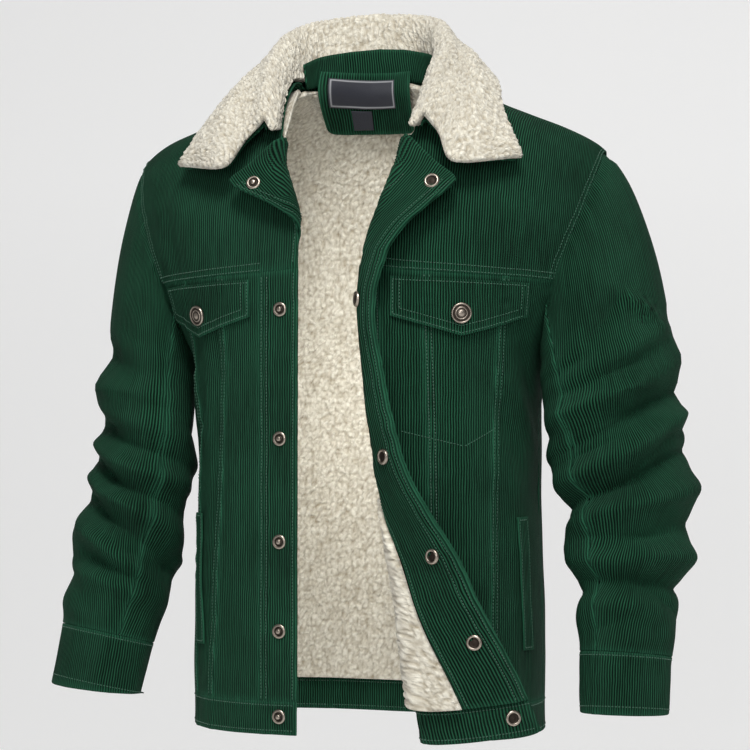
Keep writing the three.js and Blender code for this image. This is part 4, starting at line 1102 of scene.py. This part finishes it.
# %% Flaps and welts
FLAPS = {"left": (52, 190, 118), "right": (86, 208, 150)}
FLAP_TOP, FLAP_CORNER, FLAP_TIP = 17.0, -15.0, -33.0
TRIM_OUT = (2.9, 0.9)


def flap_low(side, c):
    """Lower edge of a flap: straight from each corner down to the tip."""
    inner, outer, tip = FLAPS[side]
    middle = (tip - inner) / (outer - inner)
    away = abs(c - middle) / np.where(c < middle, middle, 1 - middle)
    return mix(FLAP_TIP, FLAP_CORNER, away)


def flap_place(side, c, t, out):
    """Place on a flap: c across and t up. It bows out slightly between its corners."""
    inner, outer, _ = FLAPS[side]
    low = flap_low(side, c)
    v = mix(low, FLAP_TOP, t)
    bow = 1.6 * (1 - t) ** 2 * np.sin(np.pi * c) + 0.5 * uneven(90 * c, 40 * t, 31, 26)
    return front(side, mix(inner, outer, c), v, out + bow)


for side in SIDES:
    inner, outer, _ = FLAPS[side]
    c = places(outer - inner, 2.2, 2)[None, :]
    t = places(50, 2.2, 2)[:, None]
    mask = edge_mask(t.size, c.size) * 0.6
    face = flap_place(side, c, t, TRIM_OUT[0] - mask)
    hidden = flap_place(side, c[:, ::2], t[::2], TRIM_OUT[1] + mask[::2, ::2])
    v = mix(flap_low(side, c), FLAP_TOP, t)
    u = mix(inner, outer, c) + 0 * v
    # Paler towards the flap's edges: partly wear and partly painted highlight.
    worn = worn_value(least(u - inner, outer - u, v - flap_low(side, c)))
    piece = wall(f"flap_{side}_cloth", face, hidden, np.stack([u, v], -1), corduroy, worn=worn)
    cut = (abs(outer - inner) * MM, 0.050)
    declare(piece, f"flap_{side}", cut=cut, rests_on=[f"front_centre_{side}_cloth"])


WELT_INNER = {"left": 184, "right": 160}
WELT_LOW, WELT_HIGH, WELT_WIDE = -328.0, -204.0, 18


def welt_inner(side, v, inset=0):
    """Inner edge of a welt, which slants towards the wearer's left as it goes down, or a line at
    an inset from it."""
    return WELT_INNER[side] + SIDES[side] * 10 * (WELT_HIGH - v) / 124 + inset


for side in SIDES:
    near = partial(welt_inner, side)
    piece = panel(
        f"welt_{side}_cloth", partial(front, side), near, partial(near, inset=WELT_WIDE),
        WELT_LOW, WELT_HIGH, TRIM_OUT, near, 2.4,
    )
    declare(piece, f"welt_{side}", cut=(0.018, 0.125), rests_on=[f"front_side_{side}_cloth"])
print("flaps and welts done")

# %% [markdown]
# ## Sleeves and cuffs
# A sleeve is two pieces of cloth that meet in seams at the front and back of the arm. The grain
# follows the arm, so the pattern coordinate across it is the angle from the middle of the piece
# times the arm's mean radius there. The lining of a sleeve is plain, and only the cloth's own back
# is seen in the cuff.

# %% Sleeves
def tube(name, side, start, end, top, bottom, layers, step):
    """Closed wall of cloth round part of an arm, between two angles and two distances down it."""
    over = places(abs(end - start) * 1.05, step, 2)
    along = places(bottom - top, step, 2)
    angle = (start + (end - start) * over)[None, :]
    g = (top + (bottom - top) * along)[:, None]
    mask = edge_mask(g.size, angle.size) * 0.6
    face = sleeve(side, angle, g, layers[0] - mask)
    hidden = sleeve(side, angle[:, ::2], g[::2], layers[1] + mask[::2, ::2])
    uv = np.stack([np.radians(angle - (start + end) / 2) * girth(side, g), 0 * angle - g], -1)
    rim = least(angle - start, end - angle, g - top, bottom - g)
    # The edge value paints the sleeve paler along its seams and ends, partly wear and partly
    # painted highlight.
    return wall(name, face, hidden, uv, corduroy, worn=worn_value(rim) * 0.8)


for side in SIDES:
    cuff_top, wrist = WRIST[side] - CUFF_HEIGHT, WRIST[side]
    arm_end = cuff_top - 0.3
    upper, under = (SEAM_BACK - 359.8, SEAM_FRONT - 0.2), (SEAM_FRONT + 0.2, SEAM_BACK - 0.2)
    round_wrist = (SEAM_BACK - 359.7, SEAM_BACK - 0.3)
    parts = [
        ("upper_sleeve", *upper, 0.0, arm_end, SHELL, 2.7, (0.27, 0.52)),
        ("under_sleeve", *under, 0.0, arm_end, SHELL, 3.4, (0.17, 0.47)),
        ("cuff", *round_wrist, cuff_top, wrist, BAND_LAYERS, 2.8, (0.28, 0.054)),
    ]
    for name, *shape, cut in parts:
        piece = tube(f"{name}_{side}_cloth", side, *shape)
        declare(piece, f"{name}_{side}", cut=cut, rests_on=[f"front_yoke_{side}_cloth"])
print("sleeves done")

# %% [markdown]
# ## Pile lining and collar
# The nubs are a cellular pattern: every cell of a grid holds one seeded point, and the height falls
# off like a dome from the nearest point. The grid is pushed about by slow waves first, so the nubs
# curl and run together. The pile sits on a thin backing cloth, which is the sheet that was cut, and
# the pile is a separate piece on it.

# %% Nubs of the pile
def nubs(a, b, seed, size):
    """Domes on a jittered grid, 0 in the gaps and 1 on top: from the nearest and second nearest
    seeded point of the nine cells round each place."""
    rng = np.random.default_rng(seed)
    jitter = rng.uniform(0.12, 0.88, (64, 64, 2))
    tall = rng.uniform(0.7, 1.0, (64, 64))
    warp_a = a + 0.30 * size * uneven(a, b, seed + 1, 4 * size, 6)
    warp_b = b + 0.30 * size * uneven(a, b, seed + 2, 4 * size, 6)
    x, y = warp_a / size, warp_b / size
    column, row = np.floor(x).astype(int), np.floor(y).astype(int)
    first = np.full(x.shape, 9.0)
    second = np.full(x.shape, 9.0)
    height = np.zeros(x.shape)
    for i in (-1, 0, 1):
        for j in (-1, 0, 1):
            cell = jitter[(row + j) % 64, (column + i) % 64]
            away = np.hypot(column + i + cell[..., 0] - x, row + j + cell[..., 1] - y)
            nearer = away < first
            second = np.where(nearer, first, np.minimum(second, away))
            height = np.where(nearer, tall[(row + j) % 64, (column + i) % 64], height)
            first = np.where(nearer, away, first)
    gap = smooth((second - first) / 0.34)
    return height * (0.35 + 0.65 * gap) * np.sqrt(np.maximum(1 - (first / 1.15) ** 2, 0.05))


def pile_wall(name, place, u, v, tip, base, size, seed, coarse):
    """Pile as a closed wall: nubs on the good side, and its smooth backing side below. The
    attribute `curl` is the height of the nubs, which the colour uses for painted shade in the gaps."""
    nub = nubs(u, v, seed, size)
    fine = nubs(u, v, seed + 9, size * 0.55)
    height = 0.78 * nub + 0.22 * fine
    mask = edge_mask(*u.shape)
    depth = tip - base
    out = base + depth * np.where(mask > 0, 0.35, 0.42 + 0.58 * height)
    face = place(u, v, out)
    hidden = place(u[::coarse, ::coarse], v[::coarse, ::coarse], base)
    return wall(name, face, hidden, np.stack([u, v], -1), pile, curl=height)


def backing_wall(name, place, u, v, low, high):
    """Thin knitted backing behind the pile."""
    few_u, few_v = u[::6, ::6], v[::6, ::6]
    face = place(few_u, few_v, high)
    hidden = place(few_u, few_v, low)
    return wall(name, face, hidden, np.stack([few_u, few_v], -1), pile, curl=0.3 + 0 * few_u)


def pile_sheet(node, backing, curls, cut, rests_on):
    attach(curls, "root")
    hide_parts(node)
    declare(
        backing, node, slot="pile", cut=cut, rests_on=rests_on, held="stretched",
        with_pieces=[curls],
    )
    print(node, "pile:", len(curls.data.vertices), "points")


# %% Lining of the body
PILE_BASE, BACKING, NUB = -8.2, (-7.0, -8.0), 5.8


def lining(name, place, inner, top, step, seed, cut, rests_on, dip=None):
    """Pile and its backing from an inner curve to half a millimetre short of the side seam."""
    u, v = cut_grid(inner, lining_side, BAND + 0.2, top, step, 6, dip=dip)
    curls = pile_wall(f"{name}_pile", place, u, v, LINED[0], PILE_BASE, NUB, seed, 6)
    backing = backing_wall(f"{name}_cloth", place, u, v, *BACKING)
    pile_sheet(name, backing, curls, cut, rests_on)


def lining_side(v):
    """Outer edge of the lining, just short of the side seam."""
    return side_limit(v) - 0.5


def lining_neckline(c):
    """The back lining's pile ends 5 mm above the shell's neckline, in front of the stand."""
    return back_neckline(c) + 5 / (RIDGE - YOKE)


def back_lining(u, v, out):
    """The lining follows the shell's clean form, with a fuller unevenness of its own."""
    return back(u, v, out - back_relief(u, v) * 0.6 + 0.9 * uneven(u, v, 5, 60))


def front_lining(side, u, v, out):
    """The same on a front."""
    own = 0.9 * uneven(u, v, 7, 60) - 0.6 * front_relief(side, u, v)
    return front(side, u, v, out + own)


lining(
    "lining_back", back_lining, mirrored(lining_side), RIDGE - 0.2, 2.1, 101, (0.58, 0.65),
    ["back_yoke_cloth"], lining_neckline,
)
for side, step in (("left", 2.1), ("right", 3.0)):
    lining(
        f"lining_{side}", partial(front_lining, side), lambda v: facing_inner(side, v) + 0.6,
        RIDGE - 12, step, 103, (0.26, 0.64), [f"front_yoke_{side}_cloth"],
    )

# %% [markdown]
# The collar is the plumpest pile of all. Its edge is rounded over its whole thickness, and the
# nubs push the outline in and out, so it looks woolly against the background.

# %% Collar pile
COLLAR_THICK, COLLAR_STEP = 9.0, 1.45
EDGE_REACH, EDGE_PUSH = 5.0, 5.0


def collar_lengths():
    """Length of the collar along its middle and across its leaf, for the nubs' scale."""
    at = np.linspace(-1, 1, 200)
    line = collar_point(at, 0 * at + 0.6)
    leaf = collar_point(0 * at + 0.8, np.linspace(0, 1, 200))
    return [float(np.linalg.norm(np.diff(p, axis=0), axis=1).sum()) for p in (line, leaf)]


def around(points):
    """Distance along each row of a grid from the row's middle."""
    steps = np.linalg.norm(np.diff(points, axis=1), axis=-1)
    total = np.concatenate([np.zeros((len(points), 1)), np.cumsum(steps, 1)], 1)
    return total - total[:, [total.shape[1] // 2]]


def both_lengths(points):
    """Distances along and across a grid from its middle."""
    return around(points), around(points.transpose(1, 0, 2)).T


COLLAR_LONG, COLLAR_DEEP = collar_lengths()
at = (2 * places(COLLAR_LONG, COLLAR_STEP, 4, 0.7) - 1)[None, :]
w = places(COLLAR_DEEP, COLLAR_STEP, 4, 0.7)[:, None]
along, deep_in = both_lengths(collar_point(at + 0 * w, w + 0 * at))
nub = 0.75 * nubs(along, deep_in, 131, 5.8) + 0.25 * nubs(along, deep_in, 141, 3.4)
to_end = (1 - abs(at)) * COLLAR_LONG / 2 + 0 * w
to_edge = np.minimum(to_end, (1 - w) * COLLAR_DEEP + 0 * at)
half = COLLAR_THICK / 2
sunk = np.maximum(half - to_edge, 0)
rounding = half - np.sqrt(np.maximum(half**2 - sunk**2, (0.25 * half) ** 2))
push_out = np.maximum(1 - to_edge / EDGE_REACH, 0) * (nub - 0.35) * EDGE_PUSH
at_moved = at + np.sign(at) * push_out * np.where(to_end < EDGE_REACH, 1, 0) * 2 / COLLAR_LONG
w_moved = w + push_out / COLLAR_DEEP
face = collar(at_moved, w_moved, -2.6 + 4.6 * nub - rounding)
hidden = collar(at_moved[::4, ::4], w_moved[::4, ::4], (-COLLAR_THICK + rounding)[::4, ::4])
# curl is the nubs' height, which the pile's colour turns into painted shade in the gaps between
# them.
curls = wall("collar_pile", face, hidden, np.stack([along, deep_in], -1), pile, curl=nub)

w_few, at_few = np.meshgrid(
    np.linspace(0.02, 0.98, 25), 2 * np.linspace(0.01, 0.99, 61) - 1, indexing="ij"
)
face, hidden = (collar(at_few, w_few, -COLLAR_THICK - gap + 0 * w_few) for gap in (0.1, 0.9))
uv = np.stack([at_few * COLLAR_LONG / 2, w_few * COLLAR_DEEP], -1)
backing = wall("collar_cloth", face, hidden, uv, pile, curl=0.3 + 0 * w_few)
pile_sheet("collar", backing, curls, (0.60, 0.17), ["back_yoke_cloth"])
print("collar:", round(COLLAR_LONG), "by", round(COLLAR_DEEP), "mm")

# %% Under collar and stand
def collar_panel(name, node, at_range, w_range, layers, step, cut, sink=0.0):
    """Corduroy wall on the collar's surface between two places along it and two across it. Its
    lower edge sinks a little to meet the lining."""
    length, depth = COLLAR_LONG * np.ptp(at_range) / 2, COLLAR_DEEP * np.ptp(w_range)
    a = mix(*at_range, places(length, step, 2))[None, :]
    b = mix(*w_range, places(depth, min(step, depth / 5), 2))[:, None]
    a, b = a + 0 * b, b + 0 * a
    mask = edge_mask(*a.shape) * 0.5 * np.sign(layers[1] - layers[0])
    drop = sink * (w_range[1] - b) / np.ptp(w_range)
    fall = np.stack([0 * drop, 0 * drop, -drop], -1)
    face = collar(a, b, layers[0] + mask) + fall
    hidden = collar(a[::2, ::2], b[::2, ::2], layers[1] - mask[::2, ::2]) + fall[::2, ::2]
    across, down = both_lengths(face)
    uv = np.stack([across, -down], -1)
    # Paler along the edges: partly wear and partly painted highlight.
    piece = wall(name, face, hidden, uv, corduroy, worn=edge_mask(*a.shape) * 0.5)
    return declare(piece, node, cut=cut, rests_on=["back_yoke_cloth"])


collar_panel(
    "under_collar_cloth", "under_collar", (-0.99, 0.99), (0.02, 0.985), (-12.4, -10.4), 3.6,
    (0.59, 0.165),
)
collar_panel(
    "collar_stand_cloth", "collar_stand", (-0.5, 0.5), (0.002, 0.05), (5.0, 2.4), 2.0,
    (0.26, 0.03), 12.0,
)
print("under collar and stand done")

# %% [markdown]
# ## Labels inside the neck
# A corduroy patch with rounded lower corners carries a woven label and a small size tag. Both are
# left bare: only the label's woven border is shown.

# %% Labels
PATCH_FALL = table(
    "v y z bow", (0, 78, -50, 12), (28, 62, -22, 25), (41, 56.5, -9, 25), (60, 58.5, 10, 18),
)


def patch_point(u, v):
    """Place on the label patch: its middle falls as the table says, and it bows forward by the
    square of the distance from the middle of the neck, over 50 mm."""
    bow = read(PATCH_FALL, "bow", v) * (u / 50) ** 2
    y, z = read(PATCH_FALL, "y", v) - bow, read(PATCH_FALL, "z", v)
    return np.stack(np.broadcast_arrays(u, y, z), -1)


def on_patch(u, v, out):
    """Place on the label patch, moved out into the neck."""
    square = normals(patch_point, u, np.clip(v, 0.5, 59.5), 0.5, 0.5)
    return patch_point(u, v) + square * out[..., None]


def tag(
    name, node, centre, half_width, bottom, top, out, thick, material, slot, radius=0.0, line=None
):
    """Small rectangle on the label patch, with its lower corners rounded by a radius. `line` is
    how far in from its edge a border is woven."""
    step = 0.7 if line else 1.8
    v = mix(bottom, top, places(top - bottom, step, 2))[:, None]
    c = (2 * places(2 * half_width, step, 2) - 1)[None, :]
    up = np.maximum(radius - (v - bottom), 0)
    narrow = radius - np.sqrt(np.maximum(radius**2 - up**2, 0))
    u = centre + c * (half_width - narrow)
    v = v + 0 * c
    mask = edge_mask(*u.shape) * 0.25 * thick
    lift = 0.5 * uneven(u, v, 17, 30)
    face = on_patch(u, v, out + thick - mask + lift)
    hidden = on_patch(u[::2, ::2], v[::2, ::2], (out + mask + lift)[::2, ::2])
    rim = least(v - bottom, top - v, half_width - abs(u - centre))
    # The patch is painted paler along its edges, partly wear and partly painted highlight.
    stored = {"line": np.exp(-(((rim - line) / 0.5) ** 2))} if line else {"worn": worn_value(rim)}
    if material is label and not line:
        stored = {"line": 0 * u}
    piece = wall(name, face, hidden, np.stack([u, v], -1), material, **stored)
    cut = (2 * half_width * MM, (top - bottom) * MM)
    return declare(piece, node, slot=slot, cut=cut, rests_on=["lining_back_pile"], held="laid")


tag("label_patch_cloth", "label_patch", -15, 45, 0, 60, 0.0, 1.6, corduroy, "corduroy", 6)
tag("woven_label_tape", "woven_label", -20, 33, 25, 52, 2.4, 0.8, label, "label", 0, 1.8)
tag("size_tag_tape", "size_tag", -24, 10, 5, 23, 2.4, 0.8, label, "label")
print("labels done")

# %% [markdown]
# ## Snaps and buttons
# The right front carries six snap studs and the left one their sockets. They are turned metal
# rings with a hollow or a post in the middle, and the hollows get painted shade. A button is a rim
# round a shallow dish with a dome in it. Each is a profile carried round an axis, and the axis
# stands square to the cloth.

# %% Turned hardware
def profile(*rows):
    """Table of a turned piece's radius and height, and how deep each place is, which paints shade
    into the hollows. Its key is the row's own number."""
    return table("k r z deep", *((k, *row) for k, row in enumerate(rows)))


PROFILES = {
    "stud": profile(
        (0.01, 0, 0), (6.3, 0, 0.2), (6.9, 0.6, 0), (6.6, 1.4, 0), (5.6, 1.9, 0), (4.6, 1.7, 0.5),
        (3.9, 1, 1), (3, 1, 1), (2.5, 1.5, 0.3), (2.3, 2.8, 0), (1.6, 3.5, 0), (0.01, 3.7, 0),
    ),
    "socket": profile(
        (0.01, 0, 0), (6.9, 0, 0.2), (7.4, 0.8, 0), (7.1, 1.8, 0), (6.1, 2.5, 0), (5.1, 2.3, 0.1),
        (4.5, 1.5, 0.8), (4.1, 0.9, 1), (2.4, 0.7, 1), (1.6, 0.9, 0.9), (0.01, 1, 0.8),
    ),
    "button": profile(
        (0.01, 0, 0), (9, 0, 0.2), (9.9, 0.8, 0), (9.8, 2, 0), (9, 2.8, 0), (8.2, 2.6, 0.3),
        (7.6, 2, 0.9), (6.2, 2, 0.7), (5.7, 2.5, 0), (5.1, 2.6, 0), (4.6, 2.2, 0.8),
        (3.4, 2.3, 0.6), (2.2, 2.9, 0), (0.01, 3.2, 0),
    ),
}
AROUND = 32


def turned(name, node, kind, base, axis):
    """Profile carried round its axis in 32 steps. The fine profile is read from the table with a
    smooth curve, three steps to a row."""
    rows = PROFILES[kind]
    k = np.linspace(0, len(rows["k"]) - 1, 3 * len(rows["k"]) - 2)
    r, z, deep = (read(rows, column, k) for column in ("r", "z", "deep"))
    turn = np.linspace(0, 2 * np.pi, AROUND, endpoint=False)[None, :, None]
    side_way = unit(np.cross(axis, [0.0, 0.0, 1.0]))
    wheel = np.cos(turn) * side_way + np.sin(turn) * np.cross(side_way, axis)
    points = base + np.maximum(r, 0.02)[:, None, None] * wheel + z[:, None, None] * axis
    points = points.reshape(-1, 3)
    grid = np.arange(len(points)).reshape(-1, AROUND)
    beside = np.roll(grid, -1, 1)
    sides = np.stack([grid[:-1], beside[:-1], beside[1:], grid[1:]], -1).reshape(-1, 4)
    faces = sides.tolist() + [grid[0][::-1].tolist(), grid[-1].tolist()]
    a, b, c = (points[sides[:, j]] - base for j in range(3))
    if (a * np.cross(b, c)).sum() < 0:
        faces = [face[::-1] for face in faces]
    piece = make_mesh(name, points, faces, metal, deep=np.repeat(np.clip(deep, 0, 1), AROUND))
    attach(piece, "root")
    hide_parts(node)


SNAPS = [(86, 86), (-8, 0), (-130, -145), (-227, -237), (-311, -318), (-391, -391)]
SNAP_INSET = 17.0


def stand_on(side, u, v, depth, way):
    """Base and axis of a piece of hardware on a front: `way` is 1 outside and -1 inside."""
    u, v = np.array([u], float), np.array([v], float)
    base = front(side, u, v, np.array([depth + 0.1 * way]))[0]
    away = front(side, u, v, np.array([depth + 1.1 * way]))[0]
    return base, unit(away - base)


for k, (stud_v, socket_v) in enumerate(SNAPS, 1):
    u = float(edge_of("right", stud_v)) + SNAP_INSET
    depth, way = (FACED[0], -1) if stud_v > YOKE else (0.0, 1)
    turned(f"snap_stud_{k}", f"stud_{k}", "stud", *stand_on("right", u, stud_v, depth, way))
    u = float(edge_of("left", socket_v)) + SNAP_INSET
    depth = BAND_LAYERS[1] if socket_v < BAND else FACED[0]
    turned(f"snap_socket_{k}", f"socket_{k}", "socket", *stand_on("left", u, socket_v, depth, -1))
for side in SIDES:
    base, axis = stand_on(side, FLAPS[side][2], -12.0, TRIM_OUT[0] + 0.9, 1)
    turned(f"flap_button_{side}_metal", f"flap_button_{side}", "button", base, axis)
print("snaps:", len(SNAPS) * 2, "and buttons: 2")

# %% [markdown]
# ## Topstitching
# The seams of a trucker jacket are sewn twice, six millimetres apart. A stitch is a short rod of
# thread that dips into the cloth at both ends. One rod of ten points is placed on every 3.2 mm of
# each line, all at once, and one mesh holds the stitches of one part of the jacket.

# %% Stitches
PITCH, STITCH_LONG, STITCH_WIDE = 3.2, 2.5, 0.85
ROD = np.array(
    [[-0.5, 0, -0.5]]
    + [[x, 0.5 * y, 0.45 * z] for x in (-0.32, 0.32) for y, z in ((1, 0), (0, 1), (-1, 0), (0, -1))]
    + [[0.5, 0, -0.5]]
)
ROD_FACES = np.array(
    [[0, 1 + (k + 1) % 4, 1 + k] for k in range(4)]
    + [[1 + k, 1 + (k + 1) % 4, 5 + k] for k in range(4)]
    + [[1 + (k + 1) % 4, 5 + (k + 1) % 4, 5 + k] for k in range(4)]
    + [[9, 5 + k, 5 + (k + 1) % 4] for k in range(4)]
)


def stitch_rods(points, raised):
    """Rods along one line: the line is measured, a middle falls on each pitch, and the rod is
    turned to the line's direction there and to the cloth's own upright."""
    lengths = distances(points)
    middles = np.arange(PITCH / 2, lengths[-1] - PITCH / 2, PITCH)

    def taken(values, at):
        return np.stack([np.interp(at, lengths, values[:, k]) for k in range(3)], -1)

    at = taken(points, middles)
    ahead = taken(points, middles + 0.6) - at
    ahead = ahead / np.maximum(np.linalg.norm(ahead, axis=1, keepdims=True), 1e-6)
    up = taken(raised - points, middles)
    up = unit(up - ahead * (up * ahead).sum(1, keepdims=True))
    ways = np.stack([ahead, np.cross(up, ahead), up], 1)
    return at[:, None] + (ROD * [STITCH_LONG, STITCH_WIDE, STITCH_WIDE]) @ ways


def sew(name, lines):
    """One mesh with the stitches of several lines. A line is a function of the height over the
    cloth that gives its points."""
    rods = np.concatenate([stitch_rods(line(0.15), line(1.15)) for line in lines])
    count = len(rods)
    faces = (ROD_FACES[None] + 10 * np.arange(count)[:, None, None]).reshape(-1, 3)
    piece = make_mesh(name, rods.reshape(-1, 3), faces, thread)
    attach(piece, "root")
    print(name, count, "stitches")


def run(surface, u, v, face=0.0, way=1):
    """Line on a surface through arrays of places. `face` is the cloth's own height there and
    `way` is -1 for the inside of the jacket."""
    return lambda lift: surface(u, v, face + way * lift + 0 * v)


def span(low, high):
    """Even places from one number to another, 2 mm apart."""
    return np.linspace(low, high, max(int(abs(high - low) / 2), 8))


def level(surface, low, high, height, face=0.0, way=1):
    """Level line at one height, between two distances from the centre."""
    u = span(float(low), float(high))
    return run(surface, u, height + 0 * u, face, way)


# distances of rows of stitches from their seam or edge
EDGE_ROW, PLACKET_ROWS, FACING_ROWS = 3.5, (3.5, 30.5, 36), (3.5, 9.5, 46)
SEAM_ROWS, YOKE_ROWS, HOLE_ROWS = (1.6, 6.6), (1.6, 6.8), (2.4, 8.4)
FLAP_ROWS, SLEEVE_ROWS, BAND_ROWS = (2.6, 9.0), (1.6, 6.4), (HEM + 4, BAND - 3.5)
TRIM, INSIDE = TRIM_OUT[0], (BAND_LAYERS[1], -1)
upright, hole = span(BAND + 2, YOKE - 2), span(YOKE + 2, RIDGE - 6)
above, facing_v = span(YOKE + 4, 90), span(BAND + 2, 90)

for side in SIDES:
    cloth, free = partial(front, side), partial(edge_of, side)
    lines = [run(cloth, free(upright) + inset, upright) for inset in PLACKET_ROWS]
    lines += [run(cloth, free(above) + EDGE_ROW, above)]
    for column in ("inner", "outer"):
        u = seam_of(side, column, upright)
        lines += [run(cloth, u + inset, upright) for inset in SEAM_ROWS]
    lines += [run(cloth, side_limit(hole) - inset, hole) for inset in HOLE_ROWS]
    for height in (YOKE + row for row in YOKE_ROWS):
        lines += [level(cloth, free(YOKE) + PLACKET, side_limit(height) - 2, height)]
    lines += [level(cloth, free(v) + 3, side_limit(v) - 2, v) for v in BAND_ROWS]
    v = span(WELT_LOW + 2, WELT_HIGH - 2)
    lines += [run(cloth, welt_inner(side, v, inset), v, TRIM) for inset in (2, 15.6)]
    for v in (WELT_HIGH - 2.5, WELT_LOW + 2.5):
        lines += [level(cloth, welt_inner(side, v, 2), welt_inner(side, v, 16), v, TRIM)]
    if side == "left":
        bag = np.linspace(0, 1, 40)
        lines += [run(cloth, mix(62, 122, bag), mix(-122, -136, bag))]
        lines += [run(cloth, mix(122, 157, bag), mix(-136, -119, bag))]
    sew(f"front_stitches_{side}", lines)

    inner, outer, tip_u = FLAPS[side]
    middle = (tip_u - inner) / (outer - inner)

    def on_flap(c, v, out):
        low = flap_low(side, c)
        return flap_place(side, c, (v - low) / (FLAP_TOP - low), out)

    lines = []
    for inset in FLAP_ROWS:
        wide = inset / (outer - inner)
        c = np.concatenate([np.linspace(wide, middle, 60), np.linspace(middle, 1 - wide, 60)[1:]])
        lines += [run(on_flap, c, flap_low(side, c) + inset * 1.06, TRIM)]
        for at_c in (wide, 1 - wide):
            v = span(float(flap_low(side, np.array([at_c]))[0]) + inset, FLAP_TOP - 1)
            lines += [run(on_flap, at_c + 0 * v, v, TRIM)]
    c = np.linspace(0.01, 0.99, 120)
    lines += [run(on_flap, c, FLAP_TOP - 2.5 + 0 * c, TRIM)]
    sew(f"flap_stitches_{side}", lines)

    behind = partial(faced, side)
    lines = [run(behind, free(facing_v) + row, facing_v, FACED[0], -1) for row in FACING_ROWS]
    low, high = free(HEM + 10) + 3, side_limit(HEM) - 2
    lines += [level(cloth, low, high, v, *INSIDE) for v in BAND_ROWS]
    sew(f"facing_stitches_{side}", lines)

both_rows = [(sign, inset) for sign in (-1, 1) for inset in SEAM_ROWS]
lines = [run(back, sign * (back_seam(upright) + inset), upright) for sign, inset in both_rows]
reach = side_limit(YOKE) - 2
lines += [level(back, -reach, reach, YOKE + row) for row in YOKE_ROWS]
for v in BAND_ROWS:
    reach = side_limit(v) - 2
    lines += [level(back, -reach, reach, v), level(back, -reach, reach, v, *INSIDE)]
both_rows = [(sign, inset) for sign in (-1, 1) for inset in HOLE_ROWS]
lines += [run(back, sign * (side_limit(hole) - inset), hole) for sign, inset in both_rows]
sew("back_stitches", lines)

ring = span(SEAM_BACK - 358, SEAM_BACK - 2)
for side in SIDES:
    arm, cuff_top = partial(sleeve, side), WRIST[side] - CUFF_HEIGHT
    down = span(20, cuff_top - 2)
    lines = [run(arm, SEAM_BACK + inset + 0 * down, down) for inset in SLEEVE_ROWS]
    lines += [run(arm, ring, g + 0 * ring) for g in (cuff_top + 3, WRIST[side] - 5)]
    sew(f"sleeve_stitches_{side}", lines)

# %% [markdown]
# ## Floor and light
# The jacket stands over a pale floor that sweeps up behind it. A wide soft light hangs in front
# and above, a weaker one stands straight in front, a third fills from the right, and a small weak
# one inside lifts the lining.

# %% Floor
def sweep(width=7.0, depth=3.2, height=4.0, floor=-1.15, radius=1.4):
    """Floor that bends up into a backdrop: straight, a quarter circle, and straight up."""
    t = np.linspace(0, np.pi / 2, 24)
    y = np.concatenate([[-4.0], depth - radius + radius * np.sin(t), [depth]])
    z = np.concatenate([[floor], floor + radius * (1 - np.cos(t)), [floor + height]])
    x = np.linspace(-width, width, 3)[:, None]
    points = np.stack(np.broadcast_arrays(x, y[None, :], z[None, :]), -1)
    return points.reshape(-1, 3), quads(3, len(y))[:, ::-1]


paper, tree, shader = new_material("pale_paper")
grain = noise(tree, object_place(tree), 90.0).outputs[0]
set_shader(
    tree, shader, roughness=0.9, emission_strength=0.355, emission_color=(1, 1, 1, 1),
    base_color=blend_colours(tree, grain, (0.66, 0.66, 0.66, 1), (0.70, 0.70, 0.70, 1)),
)
floor_points, floor_faces = sweep()
floor = make_mesh("studio_floor", floor_points / MM, floor_faces, paper)
print("floor:", len(floor_faces), "faces")

# %% Lights
def soft_light(name, place, aim, size, power, colour=(1, 1, 1), camera=True):
    """Square area light that looks from one point to another."""
    lamp = bpy.data.lights.new(name, "AREA")
    lamp.size, lamp.energy, lamp.color = size, power, colour
    light = bpy.data.objects.new(name, lamp)
    light.visible_camera = camera
    gaze = np.array(aim) - np.array(place)
    light.location = place
    tip, heading = math.hypot(gaze[0], gaze[1]), math.atan2(gaze[1], gaze[0])
    light.rotation_euler = (math.atan2(tip, -gaze[2]), 0, heading - math.pi / 2)
    bpy.context.scene.collection.objects.link(light)


MIDDLE = (0, 0, -0.3)
soft_light("key_light", (0.4, -1.75, 1.95), MIDDLE, 0.9, 69, (1.0, 0.99, 0.97))
soft_light("front_light", (0.2, -2.4, 0.1), MIDDLE, 0.8, 12)
soft_light("fill_light", (1.3, -2.1, 1.2), MIDDLE, 1.2, 12, (0.98, 0.99, 1.0))
soft_light("inner_light", (-0.01, -0.10, -0.33), (-0.01, 0.13, -0.34), 0.2, 0.38, camera=False)
world = bpy.data.worlds.new("studio")
bpy.context.scene.world = world
world.use_nodes = True
sky = {"Color": (1, 1, 1, 1), "Strength": 0.22}
fill(world.node_tree, world.node_tree.nodes["Background"].inputs, sky)
bpy.context.scene.view_settings.view_transform = "Standard"
print("lights: key, front, fill and inner")
